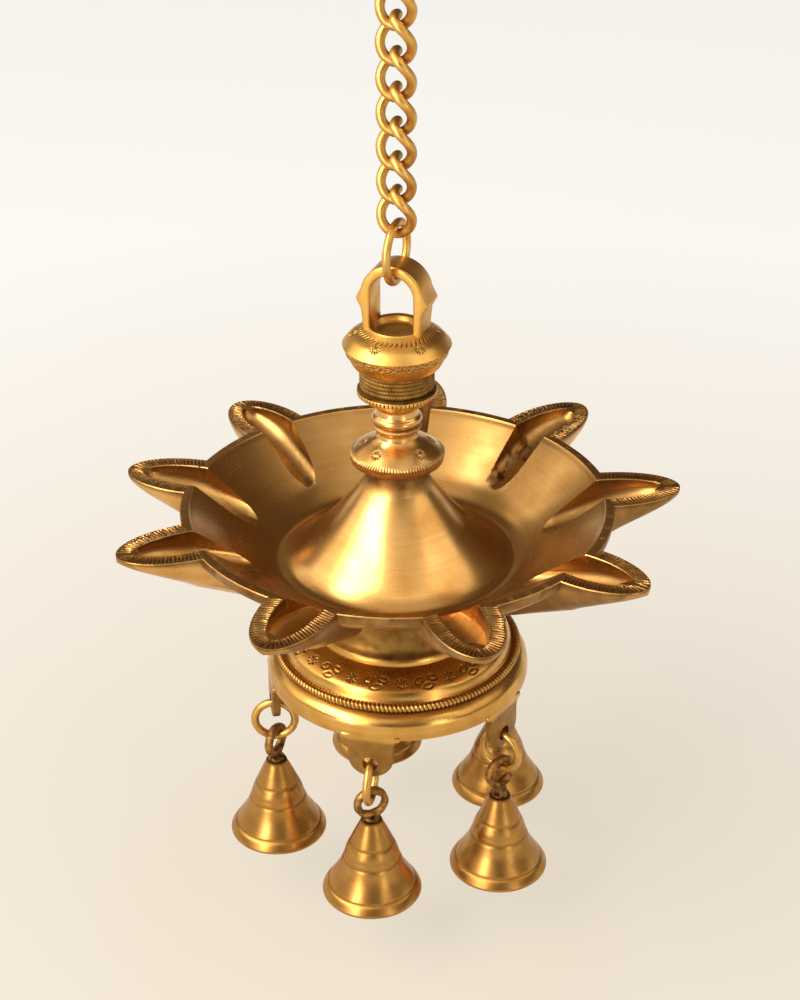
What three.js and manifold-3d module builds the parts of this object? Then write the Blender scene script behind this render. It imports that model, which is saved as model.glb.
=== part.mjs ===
import * as THREE from "three";
import { mergeVertices } from "three/addons/utils/BufferGeometryUtils.js";
import Module from "manifold-3d";

// A nine-spout hanging oil lamp of cast and turned brass, with five bells under its pedestal.
// Millimetres, +Z up. The origin is the saddle of the top hook, where the lamp hangs from its ceiling ring.
// Lamp pieces are drawn from the rim plane: their heights are above the flat top of the bowl's rim.

const wasm = await Module();
wasm.setup();

// Fits
const SEAT_GAP = 0.3; // between two pieces that rest on each other or hang in each other
const BORE_CLEARANCE = 0.3; // around the tie rod, all the way down
const CUTTER_CLEARANCE = 1.5; // a cut starts this far outside the surface that it opens

// Top hook: one wire bent to an S
const HOOK_WIRE = 4.6;
const HOOK_TOP_BEND = 10; // radius of the upper bend at the wire's centre
const HOOK_LOW_BEND = 7;
const HOOK_BEND_SPACING = 30; // between the centres of the two bends
const HOOK_TOP_END = 205; // degrees, where the free upper end stops
const HOOK_LOW_END = 62;

// Curb chain: every link is an oval twisted a quarter turn from its top end to its bottom end
const LINK_COUNT = 8;
const LINK_WIRE = 4.2;
const LINK_INNER_LENGTH = 14.55;
const LINK_WIDTH = 19.2; // outside
const LINK_TWIST = 90; // degrees between its two ends
const LINK_TWIST_EASE = 2.2; // above 1 keeps the lower bend broad and turns the upper one

// Suspension ring between the chain and the lamp's lug
const RING_WIRE = 3.6;
const RING_RADIUS = 12.4; // at the wire's centre

// Chain, ring and lug stand turned by this much from the lamp's front
const HANGER_YAW = -20;

// Cast lug on the finial: an arch with a cusp at each springing
const LUG_TOP = 108.8; // crown of the arch's opening, above the rim plane
const LUG_OPENING_RADIUS = 9.5;
const LUG_BAND = 4.3; // thickness of the arch
const LUG_DEPTH = 14;
const LUG_BEVEL = 0.8;
const LUG_CUSP = 2.6; // how far each cusp stands out of the arch
const LUG_CUSP_RISE = 4.5; // above and below its point
const LUG_CUSP_DROP = 2; // of its point below the arch's centre
const LUG_FOOT = 81; // sunk into the finial's dome

// Finial: dome, cup and base, turned in one
const FINIAL_TOP = 84.5;
const FINIAL_CROWN_RADIUS = 12.5;
const FINIAL_DISH_RADIUS = 9; // the crown is dished between the lug's feet
const FINIAL_DISH_DEPTH = 2.5;
const FINIAL_RADIUS = 22.6;
const FINIAL_WIDEST = 76.2;
const FINIAL_BAND_FOOT = 72.4; // lower edge of the punched band
const FINIAL_CUP_FOOT = 66;
const FINIAL_BASE_RADIUS = 16.6;
const FINIAL_BASE_FOOT = 56.6;
const FINIAL_CUP_ROUND = 2.6; // height of the rounding under the cup
const FINIAL_CUP_TAPER = 3;
const FINIAL_BAND_TAPER = 1.8; // the band leans in by this much at its lower edge
const FINIAL_FLANGE_RADIUS = 17.2;
const FINIAL_FLANGE_TOP = 55.4;
const FINIAL_FLANGE_FOOT = 53.5;
const FINIAL_FLANGE_TAPER = 3.6; // below the flange, down to the collar
const FINIAL_FOOT = 50.5;

// Collar: bead, neck and umbrella, turned in one
const BEAD_RADIUS = 10.9;
const BEAD_HEIGHT = 40.4;
const BEAD_HALF = 3.6;
const NECK_RADIUS = 9.2;
const NECK_FLARE = 1.2; // under the finial
const NECK_FOOT = 33;
const UMBRELLA_RADIUS = 20.6;
const UMBRELLA_EDGE = 25;
const UMBRELLA_LIP = 21.2;
const UMBRELLA_TAPER = 0.9; // its edge leans in by this much at the lip
const UMBRELLA_SEAT_RADIUS = 17.2;

// Bowl
const RIM_RADIUS = 95;
const RIM_WIDTH = 3.8;
const RIM_BAND = 4.6; // upright outer face under the rim
const RIM_BAND_TAPER = 0.6;
const BOWL_DEPTH = 28.2; // rim to the valley round the cone
const VALLEY_RADIUS = 51.5;
const BOWL_WALL = 5;
const CONE_TOP = 20.4;
const CONE_TOP_RADIUS = 12.4;
const BOWL_SEAT_RADIUS = 38; // flat underside that the pedestal carries
const BOWL_SEAT_DEPTH = 37;
const CONE_WEB = 5; // solid crown of the hollow cone
const CONE_WALL = 4.4; // beside that crown

// Spouts: nine boat-shaped wick spouts with a filed channel each
const SPOUT_FIRST = 15.2; // degrees from the front, towards the right
const SPOUT_TIP = 128; // radius of the nose
const SPOUT_TURNS = [0.2, -1, 1, 1.6, 0, 3, 0.4, -3.6, 0.6]; // degrees off even spacing, as filed by hand
const SPOUT_REACHES = [0, -2, -1.4, 1.6, 0, -4, -2.6, -1.2, 0]; // of each nose, past the usual one
const SPOUT_COUNT = SPOUT_TURNS.length;
const SPOUT_ROOT_HALF_WIDTH = 15.8;
const SPOUT_KEEL_AT_RIM = 19.5; // depth of the keel under the rim's edge
const SPOUT_NOSE_DEPTH = 3;
const SPOUT_KEEL_EASE = 0.88; // below 1 the keel rises fastest at the rim
const SPOUT_KEEL_SLOPE = 0.48; // of the keel inside the rim
const SPOUT_RIM = 6; // flat hatched border round the channel
const CHANNEL_START = 60; // radius where the channel runs out in the bowl's wall
const CHANNEL_DEPTH_START = 21.5;
const CHANNEL_DEPTH_AT_RIM = 12.6;
const CHANNEL_DEPTH_NOSE = 5.5;

// Pedestal: concave neck, convex shoulder, rope bead and skirt, hollow and open below
const PEDESTAL_NECK_RADIUS = 33.5;
const PEDESTAL_NECK_HEIGHT = -46;
const PEDESTAL_TOP_RADIUS = 37;
const COLLAR_RING_RADIUS = 38.6;
const COLLAR_RING_HEIGHT = -60;
const COLLAR_RING_HALF = 1.5;
const COLLAR_RING_STEP = 3.4; // in from the ring to the neck above it
const SHOULDER_RADIUS = 52;
const SHOULDER_FOOT = -70.5;
const ROPE_RADIUS = 54.2;
const ROPE_HEIGHT = -72.6;
const ROPE_HALF = 1.7;
const SKIRT_RADIUS = 59.6;
const SKIRT_EDGE = -83.6;
const SKIRT_FOOT = -86.6;
const SKIRT_WALL = 6.4;
const SKIRT_TAPER = 0.8; // its edge leans in by this much at the foot
const PEDESTAL_WALL = 4;
const PEDESTAL_WEB = 5;

// Bell tabs, cast on the skirt by eye and not quite evenly spaced
const TAB_ANGLES = [-12, 54, 121, 190.5, 279]; // degrees from the front, towards the right
const TAB_INSET = 2.2; // middle of the tab's thickness, in from the skirt's edge
const TAB_THICKNESS = 4;
const TAB_WIDTH = 20.4;
const TAB_FOOT = -106.6;
const TAB_FILLET = 3; // where its sides meet the skirt
const TAB_ROOT = 2; // let into the skirt
const TAB_HOLE = 7;
const TAB_HOLE_EDGE = 3.3; // brass left under the hole

// Tie rod, washer and nut, hidden inside
const ROD_RADIUS = 3;
const ROD_TOP = 68;
const ROD_END = 4; // how far the rod stands out of its nut
const WASHER_RADIUS = 9;
const WASHER_THICKNESS = 1.6;
const NUT_ACROSS_FLATS = 11;
const NUT_HEIGHT = 5;

// Bells: each hangs by a cast eye from a jump ring, with a clapper inside
const JUMP_WIRE = 3.6;
const JUMP_RADIUS = 9.2;
const EYE_RADIUS = 6.4; // at the middle of its band
const EYE_BAND = 3.5; // radially
const EYE_WIDTH = 4.2; // along its axis
const EYE_NECKS = [0.8, 4.8, 6.6, 0.8, 2.6]; // between each eye's ring and its crown, where it is brazed on
const EYE_NECK_RADIUS = 3.9;
const SHANK_RADIUS = 2.2;
const BELL_RADIUS = 22.5;
const BELL_HEIGHT = 39.5;
const BELL_CROWN_RADIUS = 5.2;
const BELL_WALL = 2;
const BELL_CROWN_THICKNESS = 3;
const CLAPPER_HOOK_RADIUS = 2.4;
const CLAPPER_HOOK_WIRE = 1.6;
const CLAPPER_WIRE = 1.4;
const CLAPPER_LOOP_RADIUS = 2.4;
const CLAPPER_BALL = 4.2; // radius
const CLAPPER_DROP = 22; // loop to ball, centre to centre
const RING_YAWS = [0, 0, 0, 0, -8]; // degrees, how each jump ring came to rest in its hole
const EYE_YAWS = [32, -18, 12, -20, -36];

// Facets
const WIRE_SIDES = 6;
const LINK_STEPS = 20;
const SPOUT_FACETS = 4; // round the bowl, per spout
const SPOUT_RIBS = 5; // round each section of a spout
const TURNED_FACETS = 24;
const PEDESTAL_FACETS = 30;
const BELL_FACETS = 16;

const radians = THREE.MathUtils.degToRad;

const polishedBrass = new THREE.MeshStandardMaterial({ color: "#c8963c", metalness: 1, roughness: 0.28 });
const castBrass = new THREE.MeshStandardMaterial({ color: "#b08038", metalness: 1, roughness: 0.42 });
const wireBrass = new THREE.MeshStandardMaterial({ color: "#cfa14a", metalness: 1, roughness: 0.34 });
const darkBronze = new THREE.MeshStandardMaterial({ color: "#6b4420", metalness: 0.9, roughness: 0.55 });
const bellBrass = new THREE.MeshStandardMaterial({ color: "#b98c42", metalness: 1, roughness: 0.36 });
const steel = new THREE.MeshStandardMaterial({ color: "#9a958c", metalness: 1, roughness: 0.45 });

// Joins and cuts

function solidOf(geometry) {
  const bare = geometry.clone();
  bare.deleteAttribute("normal");
  bare.deleteAttribute("uv");
  const merged = mergeVertices(bare, 1e-4);
  return new wasm.Manifold(
    new wasm.Mesh({
      numProp: 3,
      vertProperties: new Float32Array(merged.attributes.position.array),
      triVerts: new Uint32Array(merged.index.array),
    }),
  );
}

function geometryOf(solid) {
  const mesh = solid.getMesh();
  const geometry = new THREE.BufferGeometry();
  geometry.setAttribute("position", new THREE.BufferAttribute(new Float32Array(mesh.vertProperties), 3));
  geometry.setIndex(new THREE.BufferAttribute(new Uint32Array(mesh.triVerts), 1));
  return geometry;
}

function join(...geometries) {
  return geometryOf(geometries.map(solidOf).reduce((whole, next) => whole.add(next)));
}

function cut(geometry, ...tools) {
  return geometryOf(tools.map(solidOf).reduce((left, tool) => left.subtract(tool), solidOf(geometry)));
}

// Shapes

// A turned piece from [radius, height] points, listed upwards outside or round a closed section.
function turned(points, facets) {
  const profile = points.map(([radius, height]) => new THREE.Vector2(radius, height));
  const geometry = new THREE.LatheGeometry(profile, facets);
  geometry.rotateX(Math.PI / 2); // the lathe turns about Y
  return geometry;
}

// A [radius, height] point at these shares of the way from one point to another, outwards and upwards.
function between([fromRadius, fromHeight], [toRadius, toHeight], across, along) {
  return [THREE.MathUtils.lerp(fromRadius, toRadius, across), THREE.MathUtils.lerp(fromHeight, toHeight, along)];
}

// Points of a smooth outline through a few [radius, height] points.
function smooth(points, count) {
  const curve = new THREE.SplineCurve(points.map(([radius, height]) => new THREE.Vector2(radius, height)));
  return curve.getPoints(count).map((point) => [point.x, point.y]);
}

function torus(radius, wire, sides, steps) {
  return new THREE.TorusGeometry(radius, wire / 2, sides, steps);
}

function rod(radius, bottom, top, facets) {
  const geometry = new THREE.CylinderGeometry(radius, radius, top - bottom, facets);
  geometry.rotateX(Math.PI / 2);
  geometry.translate(0, 0, (top + bottom) / 2);
  return geometry;
}

// A solid through closed sections of equal point counts, each flat and convex, capped at both ends.
function loft(sections) {
  const size = sections[0].length;
  const positions = [];
  const corner = (section, index) => {
    const point = sections[section][index % size];
    positions.push(point.x, point.y, point.z);
  };
  for (let section = 0; section + 1 < sections.length; section++) {
    for (let index = 0; index < size; index++) {
      corner(section, index);
      corner(section, index + 1);
      corner(section + 1, index + 1);
      corner(section, index);
      corner(section + 1, index + 1);
      corner(section + 1, index);
    }
  }
  for (let index = 1; index + 1 < size; index++) {
    corner(0, 0);
    corner(0, index + 1);
    corner(0, index);
    corner(sections.length - 1, 0);
    corner(sections.length - 1, index);
    corner(sections.length - 1, index + 1);
  }
  const geometry = new THREE.BufferGeometry();
  geometry.setAttribute("position", new THREE.Float32BufferAttribute(positions, 3));
  return geometry;
}

function named(name, geometry, material) {
  const mesh = new THREE.Mesh(geometry, material);
  mesh.name = name;
  return mesh;
}

// Turns a group so that its +X points outwards at this many degrees from the front.
function facing(group, degrees) {
  group.rotation.z = radians(degrees - 90);
  return group;
}

// Hook

function hookGeometry() {
  const upper = -(HOOK_TOP_BEND - HOOK_WIRE / 2);
  const lower = upper - HOOK_BEND_SPACING;
  const crossing = Math.asin((HOOK_TOP_BEND + HOOK_LOW_BEND) / HOOK_BEND_SPACING);
  const outline = new THREE.Path();
  outline.absarc(0, upper, HOOK_TOP_BEND, radians(HOOK_TOP_END), -crossing, true);
  outline.absarc(0, lower, HOOK_LOW_BEND, Math.PI - crossing, 2 * Math.PI + radians(HOOK_LOW_END), false);
  const route = outline.getSpacedPoints(60).map((point) => new THREE.Vector3(point.x, 0, point.y));
  const section = new THREE.Shape().absarc(0, 0, HOOK_WIRE / 2, 0, 2 * Math.PI);
  return new THREE.ExtrudeGeometry(section, {
    extrudePath: new THREE.CatmullRomCurve3(route),
    steps: 26,
    curveSegments: WIRE_SIDES / 2,
  });
}

const hookLowWire = -(HOOK_TOP_BEND - HOOK_WIRE / 2) - HOOK_BEND_SPACING - HOOK_LOW_BEND;

// Chain

const linkSpan = LINK_INNER_LENGTH + LINK_WIRE; // between the wire's centres at its two ends
const linkHalfWidth = (LINK_WIDTH - LINK_WIRE) / 2;

// The link's centre line: an oval whose width turns with its height, across at the bottom and
// front to back at the top. Height 0 is the wire's centre at the top end.
class CurbLinkCurve extends THREE.Curve {
  getPoint(share, target = new THREE.Vector3()) {
    const angle = 2 * Math.PI * share;
    const rise = (1 + Math.cos(angle)) / 2;
    const turn = -radians(LINK_TWIST) * Math.pow(rise, LINK_TWIST_EASE);
    const side = linkHalfWidth * Math.sin(angle);
    return target.set(side * Math.cos(turn), side * Math.sin(turn), linkSpan * (rise - 1));
  }
}

function linkGeometry() {
  return new THREE.TubeGeometry(new CurbLinkCurve(), LINK_STEPS, LINK_WIRE / 2, WIRE_SIDES, true);
}

// Each piece hangs with its top wire this far above the wire that carries it.
const hangBy = (carrier, own) => (carrier + own) / 2 + SEAT_GAP;

// How far a circle of this radius has curved away at this distance from its middle.
const curveDrop = (radius, half) => radius - Math.sqrt(radius * radius - half * half);

// Finial

function lugGeometry() {
  const centre = LUG_TOP - LUG_OPENING_RADIUS;
  const outer = LUG_OPENING_RADIUS + LUG_BAND;
  const cusp = centre - LUG_CUSP_DROP;
  const springing = Math.asin((LUG_CUSP_RISE - LUG_CUSP_DROP) / outer);
  const arch = new THREE.Shape();
  arch.moveTo(outer, LUG_FOOT);
  arch.lineTo(outer, cusp - LUG_CUSP_RISE);
  arch.lineTo(outer + LUG_CUSP, cusp);
  arch.absarc(0, centre, outer, springing, Math.PI - springing, false);
  arch.lineTo(-outer - LUG_CUSP, cusp);
  arch.lineTo(-outer, cusp - LUG_CUSP_RISE);
  arch.lineTo(-outer, LUG_FOOT);
  arch.lineTo(-LUG_OPENING_RADIUS, LUG_FOOT);
  arch.absarc(0, centre, LUG_OPENING_RADIUS, Math.PI, 0, true);
  arch.lineTo(LUG_OPENING_RADIUS, LUG_FOOT);
  const geometry = new THREE.ExtrudeGeometry(arch, {
    depth: LUG_DEPTH - 2 * LUG_BEVEL,
    bevelSize: LUG_BEVEL,
    bevelOffset: -LUG_BEVEL,
    bevelThickness: LUG_BEVEL,
    bevelSegments: 1,
    curveSegments: 10,
  });
  geometry.translate(0, 0, LUG_BEVEL - LUG_DEPTH / 2);
  geometry.rotateX(Math.PI / 2);
  return geometry;
}

function finialGeometry() {
  const bore = ROD_RADIUS + BORE_CLEARANCE;
  const boreTop = ROD_TOP + BORE_CLEARANCE;
  const widest = [FINIAL_RADIUS, FINIAL_WIDEST];
  const crown = [FINIAL_CROWN_RADIUS, FINIAL_TOP];
  const dome = smooth([widest, between(widest, crown, 0.337, 0.506), between(widest, crown, 0.782, 0.819), crown], 4);
  const body = turned(
    [
      [0, boreTop],
      [bore, boreTop],
      [bore, FINIAL_FOOT],
      [FINIAL_FLANGE_RADIUS - FINIAL_FLANGE_TAPER, FINIAL_FOOT],
      [FINIAL_FLANGE_RADIUS, FINIAL_FLANGE_FOOT],
      [FINIAL_FLANGE_RADIUS, FINIAL_FLANGE_TOP],
      [FINIAL_BASE_RADIUS, FINIAL_BASE_FOOT],
      [FINIAL_BASE_RADIUS, FINIAL_CUP_FOOT],
      [FINIAL_RADIUS - FINIAL_CUP_TAPER, FINIAL_CUP_FOOT + FINIAL_CUP_ROUND],
      [FINIAL_RADIUS - FINIAL_BAND_TAPER, FINIAL_BAND_FOOT],
      ...dome,
      [FINIAL_DISH_RADIUS, FINIAL_TOP - FINIAL_DISH_DEPTH],
      [0, FINIAL_TOP - FINIAL_DISH_DEPTH],
    ],
    TURNED_FACETS,
  );
  const lug = lugGeometry();
  lug.rotateZ(radians(HANGER_YAW));
  return join(body, lug);
}

// Collar

function collarGeometry() {
  const bore = ROD_RADIUS + BORE_CLEARANCE;
  const top = FINIAL_FOOT - SEAT_GAP;
  const edge = [UMBRELLA_RADIUS, UMBRELLA_EDGE];
  const neck = [NECK_RADIUS, NECK_FOOT];
  const umbrella = smooth([edge, between(edge, neck, 0.456, 0.475), between(edge, neck, 0.825, 0.8), neck], 4);
  return turned(
    [
      [bore, CONE_TOP + SEAT_GAP],
      [UMBRELLA_SEAT_RADIUS, CONE_TOP + SEAT_GAP],
      [UMBRELLA_RADIUS - UMBRELLA_TAPER, UMBRELLA_LIP],
      ...umbrella,
      [NECK_RADIUS, BEAD_HEIGHT - BEAD_HALF],
      [BEAD_RADIUS, BEAD_HEIGHT - BEAD_HALF / 2],
      [BEAD_RADIUS, BEAD_HEIGHT + BEAD_HALF / 2],
      [NECK_RADIUS, BEAD_HEIGHT + BEAD_HALF],
      [NECK_RADIUS + NECK_FLARE, top],
      [bore, top],
      [bore, CONE_TOP + SEAT_GAP],
    ],
    TURNED_FACETS,
  );
}

// Bowl

// Where the cone meets the bowl's floor, and the wall rises to the rim, seen from inside.
function cavityProfile() {
  const coneTop = [CONE_TOP_RADIUS, CONE_TOP];
  const valley = [VALLEY_RADIUS, -BOWL_DEPTH];
  const brim = [RIM_RADIUS - RIM_WIDTH, 0];
  return smooth(
    [
      coneTop,
      between(coneTop, valley, 0.046, 0.169),
      between(coneTop, valley, 0.343, 0.496),
      between(coneTop, valley, 0.609, 0.735),
      between(coneTop, valley, 0.859, 0.947),
      valley,
      between(valley, brim, 0.151, 0.085),
      between(valley, brim, 0.504, 0.461),
      brim,
    ],
    13,
  );
}

// Distance of the spout's side from its centre line, at this share of its length past the rim.
const spoutHalfWidth = (share) => SPOUT_ROOT_HALF_WIDTH * Math.sqrt(1 - share * share);

// Half of a boat's cross-section swept from one gunwale under the keel to the other.
function boatSection(radius, halfWidth, top, depth, ribs) {
  const points = [];
  for (let rib = 0; rib <= ribs; rib++) {
    const angle = (Math.PI * rib) / ribs;
    const drop = depth * Math.pow(Math.sin(angle), 0.8);
    points.push(new THREE.Vector3(radius, -halfWidth * Math.cos(angle), top - drop));
  }
  return points;
}

// The keel rises towards the nose, and falls inwards along the bowl's underside.
function spoutHull(tip) {
  const inside = (radius) => {
    const keel = SPOUT_KEEL_AT_RIM + (RIM_RADIUS - radius) * SPOUT_KEEL_SLOPE;
    return boatSection(radius, SPOUT_ROOT_HALF_WIDTH, 0, keel, SPOUT_RIBS);
  };
  // Shares of the length past the rim, closest together where the nose turns in
  const outside = (share) => {
    const keel = THREE.MathUtils.lerp(SPOUT_KEEL_AT_RIM, SPOUT_NOSE_DEPTH, Math.pow(share, SPOUT_KEEL_EASE));
    const radius = THREE.MathUtils.lerp(RIM_RADIUS, tip, share);
    return boatSection(radius, spoutHalfWidth(share), 0, keel, SPOUT_RIBS);
  };
  const inner = [CHANNEL_START - 0.5, (VALLEY_RADIUS + RIM_RADIUS) / 2].map(inside);
  return loft([...inner, ...[0, 0.38, 0.68, 0.88, 0.985].map(outside)]);
}

function spoutChannel(tip) {
  const end = tip - SPOUT_RIM;
  const rootHalfWidth = SPOUT_ROOT_HALF_WIDTH - SPOUT_RIM;
  const station = (radius, widthShare, depth) =>
    boatSection(radius, rootHalfWidth * widthShare, CUTTER_CLEARANCE, depth + CUTTER_CLEARANCE, SPOUT_RIBS);
  const out = (share) => THREE.MathUtils.lerp(RIM_RADIUS, end, share);
  return loft([
    station(CHANNEL_START, 0.55, CHANNEL_DEPTH_START),
    station((CHANNEL_START + RIM_RADIUS) / 2, 0.85, (CHANNEL_DEPTH_START + CHANNEL_DEPTH_AT_RIM) / 2),
    station(RIM_RADIUS, 1, CHANNEL_DEPTH_AT_RIM),
    station(out(0.5), 0.86, (CHANNEL_DEPTH_AT_RIM + CHANNEL_DEPTH_NOSE) / 2),
    station(out(0.85), 0.5, CHANNEL_DEPTH_NOSE),
    station(end, 0.12, 1),
  ]);
}

function bowlGeometry() {
  const facets = SPOUT_COUNT * SPOUT_FACETS;
  const bore = ROD_RADIUS + BORE_CLEARANCE;
  const hollowTop = [CONE_TOP_RADIUS - CONE_WALL, CONE_TOP - CONE_WEB];
  const hollowFoot = [BOWL_SEAT_RADIUS - BOWL_WALL, -BOWL_SEAT_DEPTH];
  const valley = [VALLEY_RADIUS, -BOWL_DEPTH - BOWL_WALL];
  const bandFoot = [RIM_RADIUS - RIM_BAND_TAPER, -RIM_BAND];
  const uncut = (RIM_RADIUS + VALLEY_RADIUS) / 2; // from here in, the cavity takes the blank's top away
  const blank = turned(
    [
      [bore, CONE_TOP],
      [bore, CONE_TOP - CONE_WEB],
      hollowTop,
      between(hollowTop, hollowFoot, 0.256, 0.313),
      between(hollowTop, hollowFoot, 0.76, 0.679),
      hollowFoot,
      [BOWL_SEAT_RADIUS, -BOWL_SEAT_DEPTH],
      valley,
      between(valley, bandFoot, 0.326, 0.367),
      between(valley, bandFoot, 0.804, 0.755),
      bandFoot,
      [RIM_RADIUS, 0],
      [uncut, 0],
      [uncut, CONE_TOP],
      [bore, CONE_TOP],
    ],
    facets,
  );
  const above = CONE_TOP + CUTTER_CLEARANCE;
  const cavity = turned(
    [...cavityProfile(), [RIM_RADIUS - RIM_WIDTH, above], [CONE_TOP_RADIUS, above], [CONE_TOP_RADIUS, CONE_TOP]],
    facets,
  );
  const turnToSpouts = radians(SPOUT_FIRST);
  blank.rotateZ(turnToSpouts);
  cavity.rotateZ(turnToSpouts);
  const perSpout = (shape) =>
    SPOUT_TURNS.map((turn, index) => {
      const degrees = SPOUT_FIRST + (360 / SPOUT_COUNT) * index + turn - 90;
      return shape(SPOUT_TIP + SPOUT_REACHES[index]).rotateZ(radians(degrees));
    });
  return cut(join(blank, ...perSpout(spoutHull)), cavity, ...perSpout(spoutChannel));
}

// Pedestal

function tabGeometry() {
  const half = TAB_WIDTH / 2;
  const rootHalf = half + TAB_FILLET;
  const root = SKIRT_FOOT + TAB_ROOT;
  const filletFoot = SKIRT_FOOT - TAB_FILLET - 1;
  const plate = new THREE.Shape();
  plate.moveTo(rootHalf, root);
  plate.lineTo(-rootHalf, root);
  plate.lineTo(-rootHalf, SKIRT_FOOT - 0.1);
  plate.quadraticCurveTo(-half, SKIRT_FOOT - 1, -half, filletFoot);
  plate.absarc(0, TAB_FOOT + half, half, Math.PI, 2 * Math.PI, false);
  plate.lineTo(half, filletFoot);
  plate.quadraticCurveTo(half, SKIRT_FOOT - 1, rootHalf, SKIRT_FOOT - 0.1);
  const hole = new THREE.Path().absarc(0, tabHoleHeight, TAB_HOLE / 2, 0, 2 * Math.PI, false);
  plate.holes.push(hole);
  const geometry = new THREE.ExtrudeGeometry(plate, {
    depth: TAB_THICKNESS,
    bevelEnabled: false,
    curveSegments: 6,
  });
  geometry.rotateX(Math.PI / 2); // upright, its thickness along Y
  geometry.rotateZ(Math.PI / 2); // its thickness along X
  geometry.translate(tabRadius - TAB_THICKNESS / 2, 0, 0);
  return geometry;
}

const tabRadius = SKIRT_RADIUS - TAB_INSET;
const tabHoleHeight = TAB_FOOT + TAB_HOLE_EDGE + TAB_HOLE / 2;

function pedestalGeometry() {
  const bore = ROD_RADIUS + BORE_CLEARANCE;
  const top = -BOWL_SEAT_DEPTH - SEAT_GAP;
  const shoulderTop = [COLLAR_RING_RADIUS, COLLAR_RING_HEIGHT - COLLAR_RING_HALF];
  const shoulderFoot = [SHOULDER_RADIUS, SHOULDER_FOOT];
  const shoulder = smooth([shoulderFoot, between(shoulderTop, shoulderFoot, 0.485, 0.247), shoulderTop], 3);
  const body = turned(
    [
      [bore, top - PEDESTAL_WEB],
      [PEDESTAL_NECK_RADIUS - PEDESTAL_WALL - 1, top - PEDESTAL_WEB],
      [PEDESTAL_NECK_RADIUS - PEDESTAL_WALL, PEDESTAL_NECK_HEIGHT - PEDESTAL_WALL],
      [COLLAR_RING_RADIUS - PEDESTAL_WALL, COLLAR_RING_HEIGHT - PEDESTAL_WALL - 1],
      [SHOULDER_RADIUS - PEDESTAL_WALL - 3, SHOULDER_FOOT - PEDESTAL_WALL],
      [SKIRT_RADIUS - SKIRT_WALL, SKIRT_EDGE],
      [SKIRT_RADIUS - SKIRT_WALL, SKIRT_FOOT],
      [SKIRT_RADIUS - SKIRT_TAPER, SKIRT_FOOT],
      [SKIRT_RADIUS, SKIRT_EDGE],
      [ROPE_RADIUS + ROPE_HALF, ROPE_HEIGHT - 2 * ROPE_HALF],
      [ROPE_RADIUS + ROPE_HALF, ROPE_HEIGHT - ROPE_HALF / 2],
      [ROPE_RADIUS + ROPE_HALF / 2, ROPE_HEIGHT + ROPE_HALF],
      ...shoulder,
      [COLLAR_RING_RADIUS, COLLAR_RING_HEIGHT + COLLAR_RING_HALF],
      [COLLAR_RING_RADIUS - COLLAR_RING_STEP, COLLAR_RING_HEIGHT + 3 * COLLAR_RING_HALF],
      [PEDESTAL_NECK_RADIUS, PEDESTAL_NECK_HEIGHT],
      [PEDESTAL_TOP_RADIUS, top],
      [bore, top],
      [bore, top - PEDESTAL_WEB],
    ],
    PEDESTAL_FACETS,
  );
  const tab = tabGeometry();
  return join(body, ...TAB_ANGLES.map((degrees) => tab.clone().rotateZ(radians(degrees - 90))));
}

// Tie rod, washer and nut

const washerTop = -BOWL_SEAT_DEPTH - SEAT_GAP - PEDESTAL_WEB - SEAT_GAP;
const nutTop = washerTop - WASHER_THICKNESS - SEAT_GAP;

function rodGeometry() {
  return rod(ROD_RADIUS, nutTop - NUT_HEIGHT - ROD_END, ROD_TOP, 12);
}

function washerGeometry() {
  const bore = ROD_RADIUS + BORE_CLEARANCE;
  const foot = washerTop - WASHER_THICKNESS;
  return turned(
    [
      [bore, foot],
      [WASHER_RADIUS, foot],
      [WASHER_RADIUS, washerTop],
      [bore, washerTop],
      [bore, foot],
    ],
    TURNED_FACETS,
  );
}

function nutGeometry() {
  const corner = NUT_ACROSS_FLATS / 2 / Math.cos(Math.PI / 6);
  const hexagon = new THREE.Shape();
  for (let side = 0; side < 6; side++) {
    const angle = (Math.PI / 3) * side;
    const move = side ? "lineTo" : "moveTo";
    hexagon[move](corner * Math.cos(angle), corner * Math.sin(angle));
  }
  hexagon.holes.push(new THREE.Path().absarc(0, 0, ROD_RADIUS + BORE_CLEARANCE, 0, 2 * Math.PI, false));
  const geometry = new THREE.ExtrudeGeometry(hexagon, { depth: NUT_HEIGHT, bevelEnabled: false, curveSegments: 6 });
  geometry.translate(0, 0, nutTop - NUT_HEIGHT);
  return geometry;
}

// Bells. Heights are above the wire of the jump ring where it lies in its hole.

const jumpLowWire = -2 * JUMP_RADIUS;
const eyeTopWire = jumpLowWire + (JUMP_WIRE + EYE_BAND) / 2 + SEAT_GAP;
const eyeCentre = eyeTopWire - EYE_RADIUS;
const crownTops = EYE_NECKS.map((neck) => eyeCentre - EYE_RADIUS - EYE_BAND / 2 - neck);
// Below the crown
const clapperHookDrop = BELL_CROWN_THICKNESS + CLAPPER_HOOK_RADIUS + 1.6;
const clapperWireDrop = clapperHookDrop + CLAPPER_HOOK_RADIUS - hangBy(CLAPPER_HOOK_WIRE, CLAPPER_WIRE);

function jumpRingGeometry() {
  const geometry = torus(JUMP_RADIUS, JUMP_WIRE, WIRE_SIDES, 16);
  geometry.rotateX(Math.PI / 2);
  geometry.translate(0, 0, -JUMP_RADIUS);
  return geometry;
}

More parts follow.
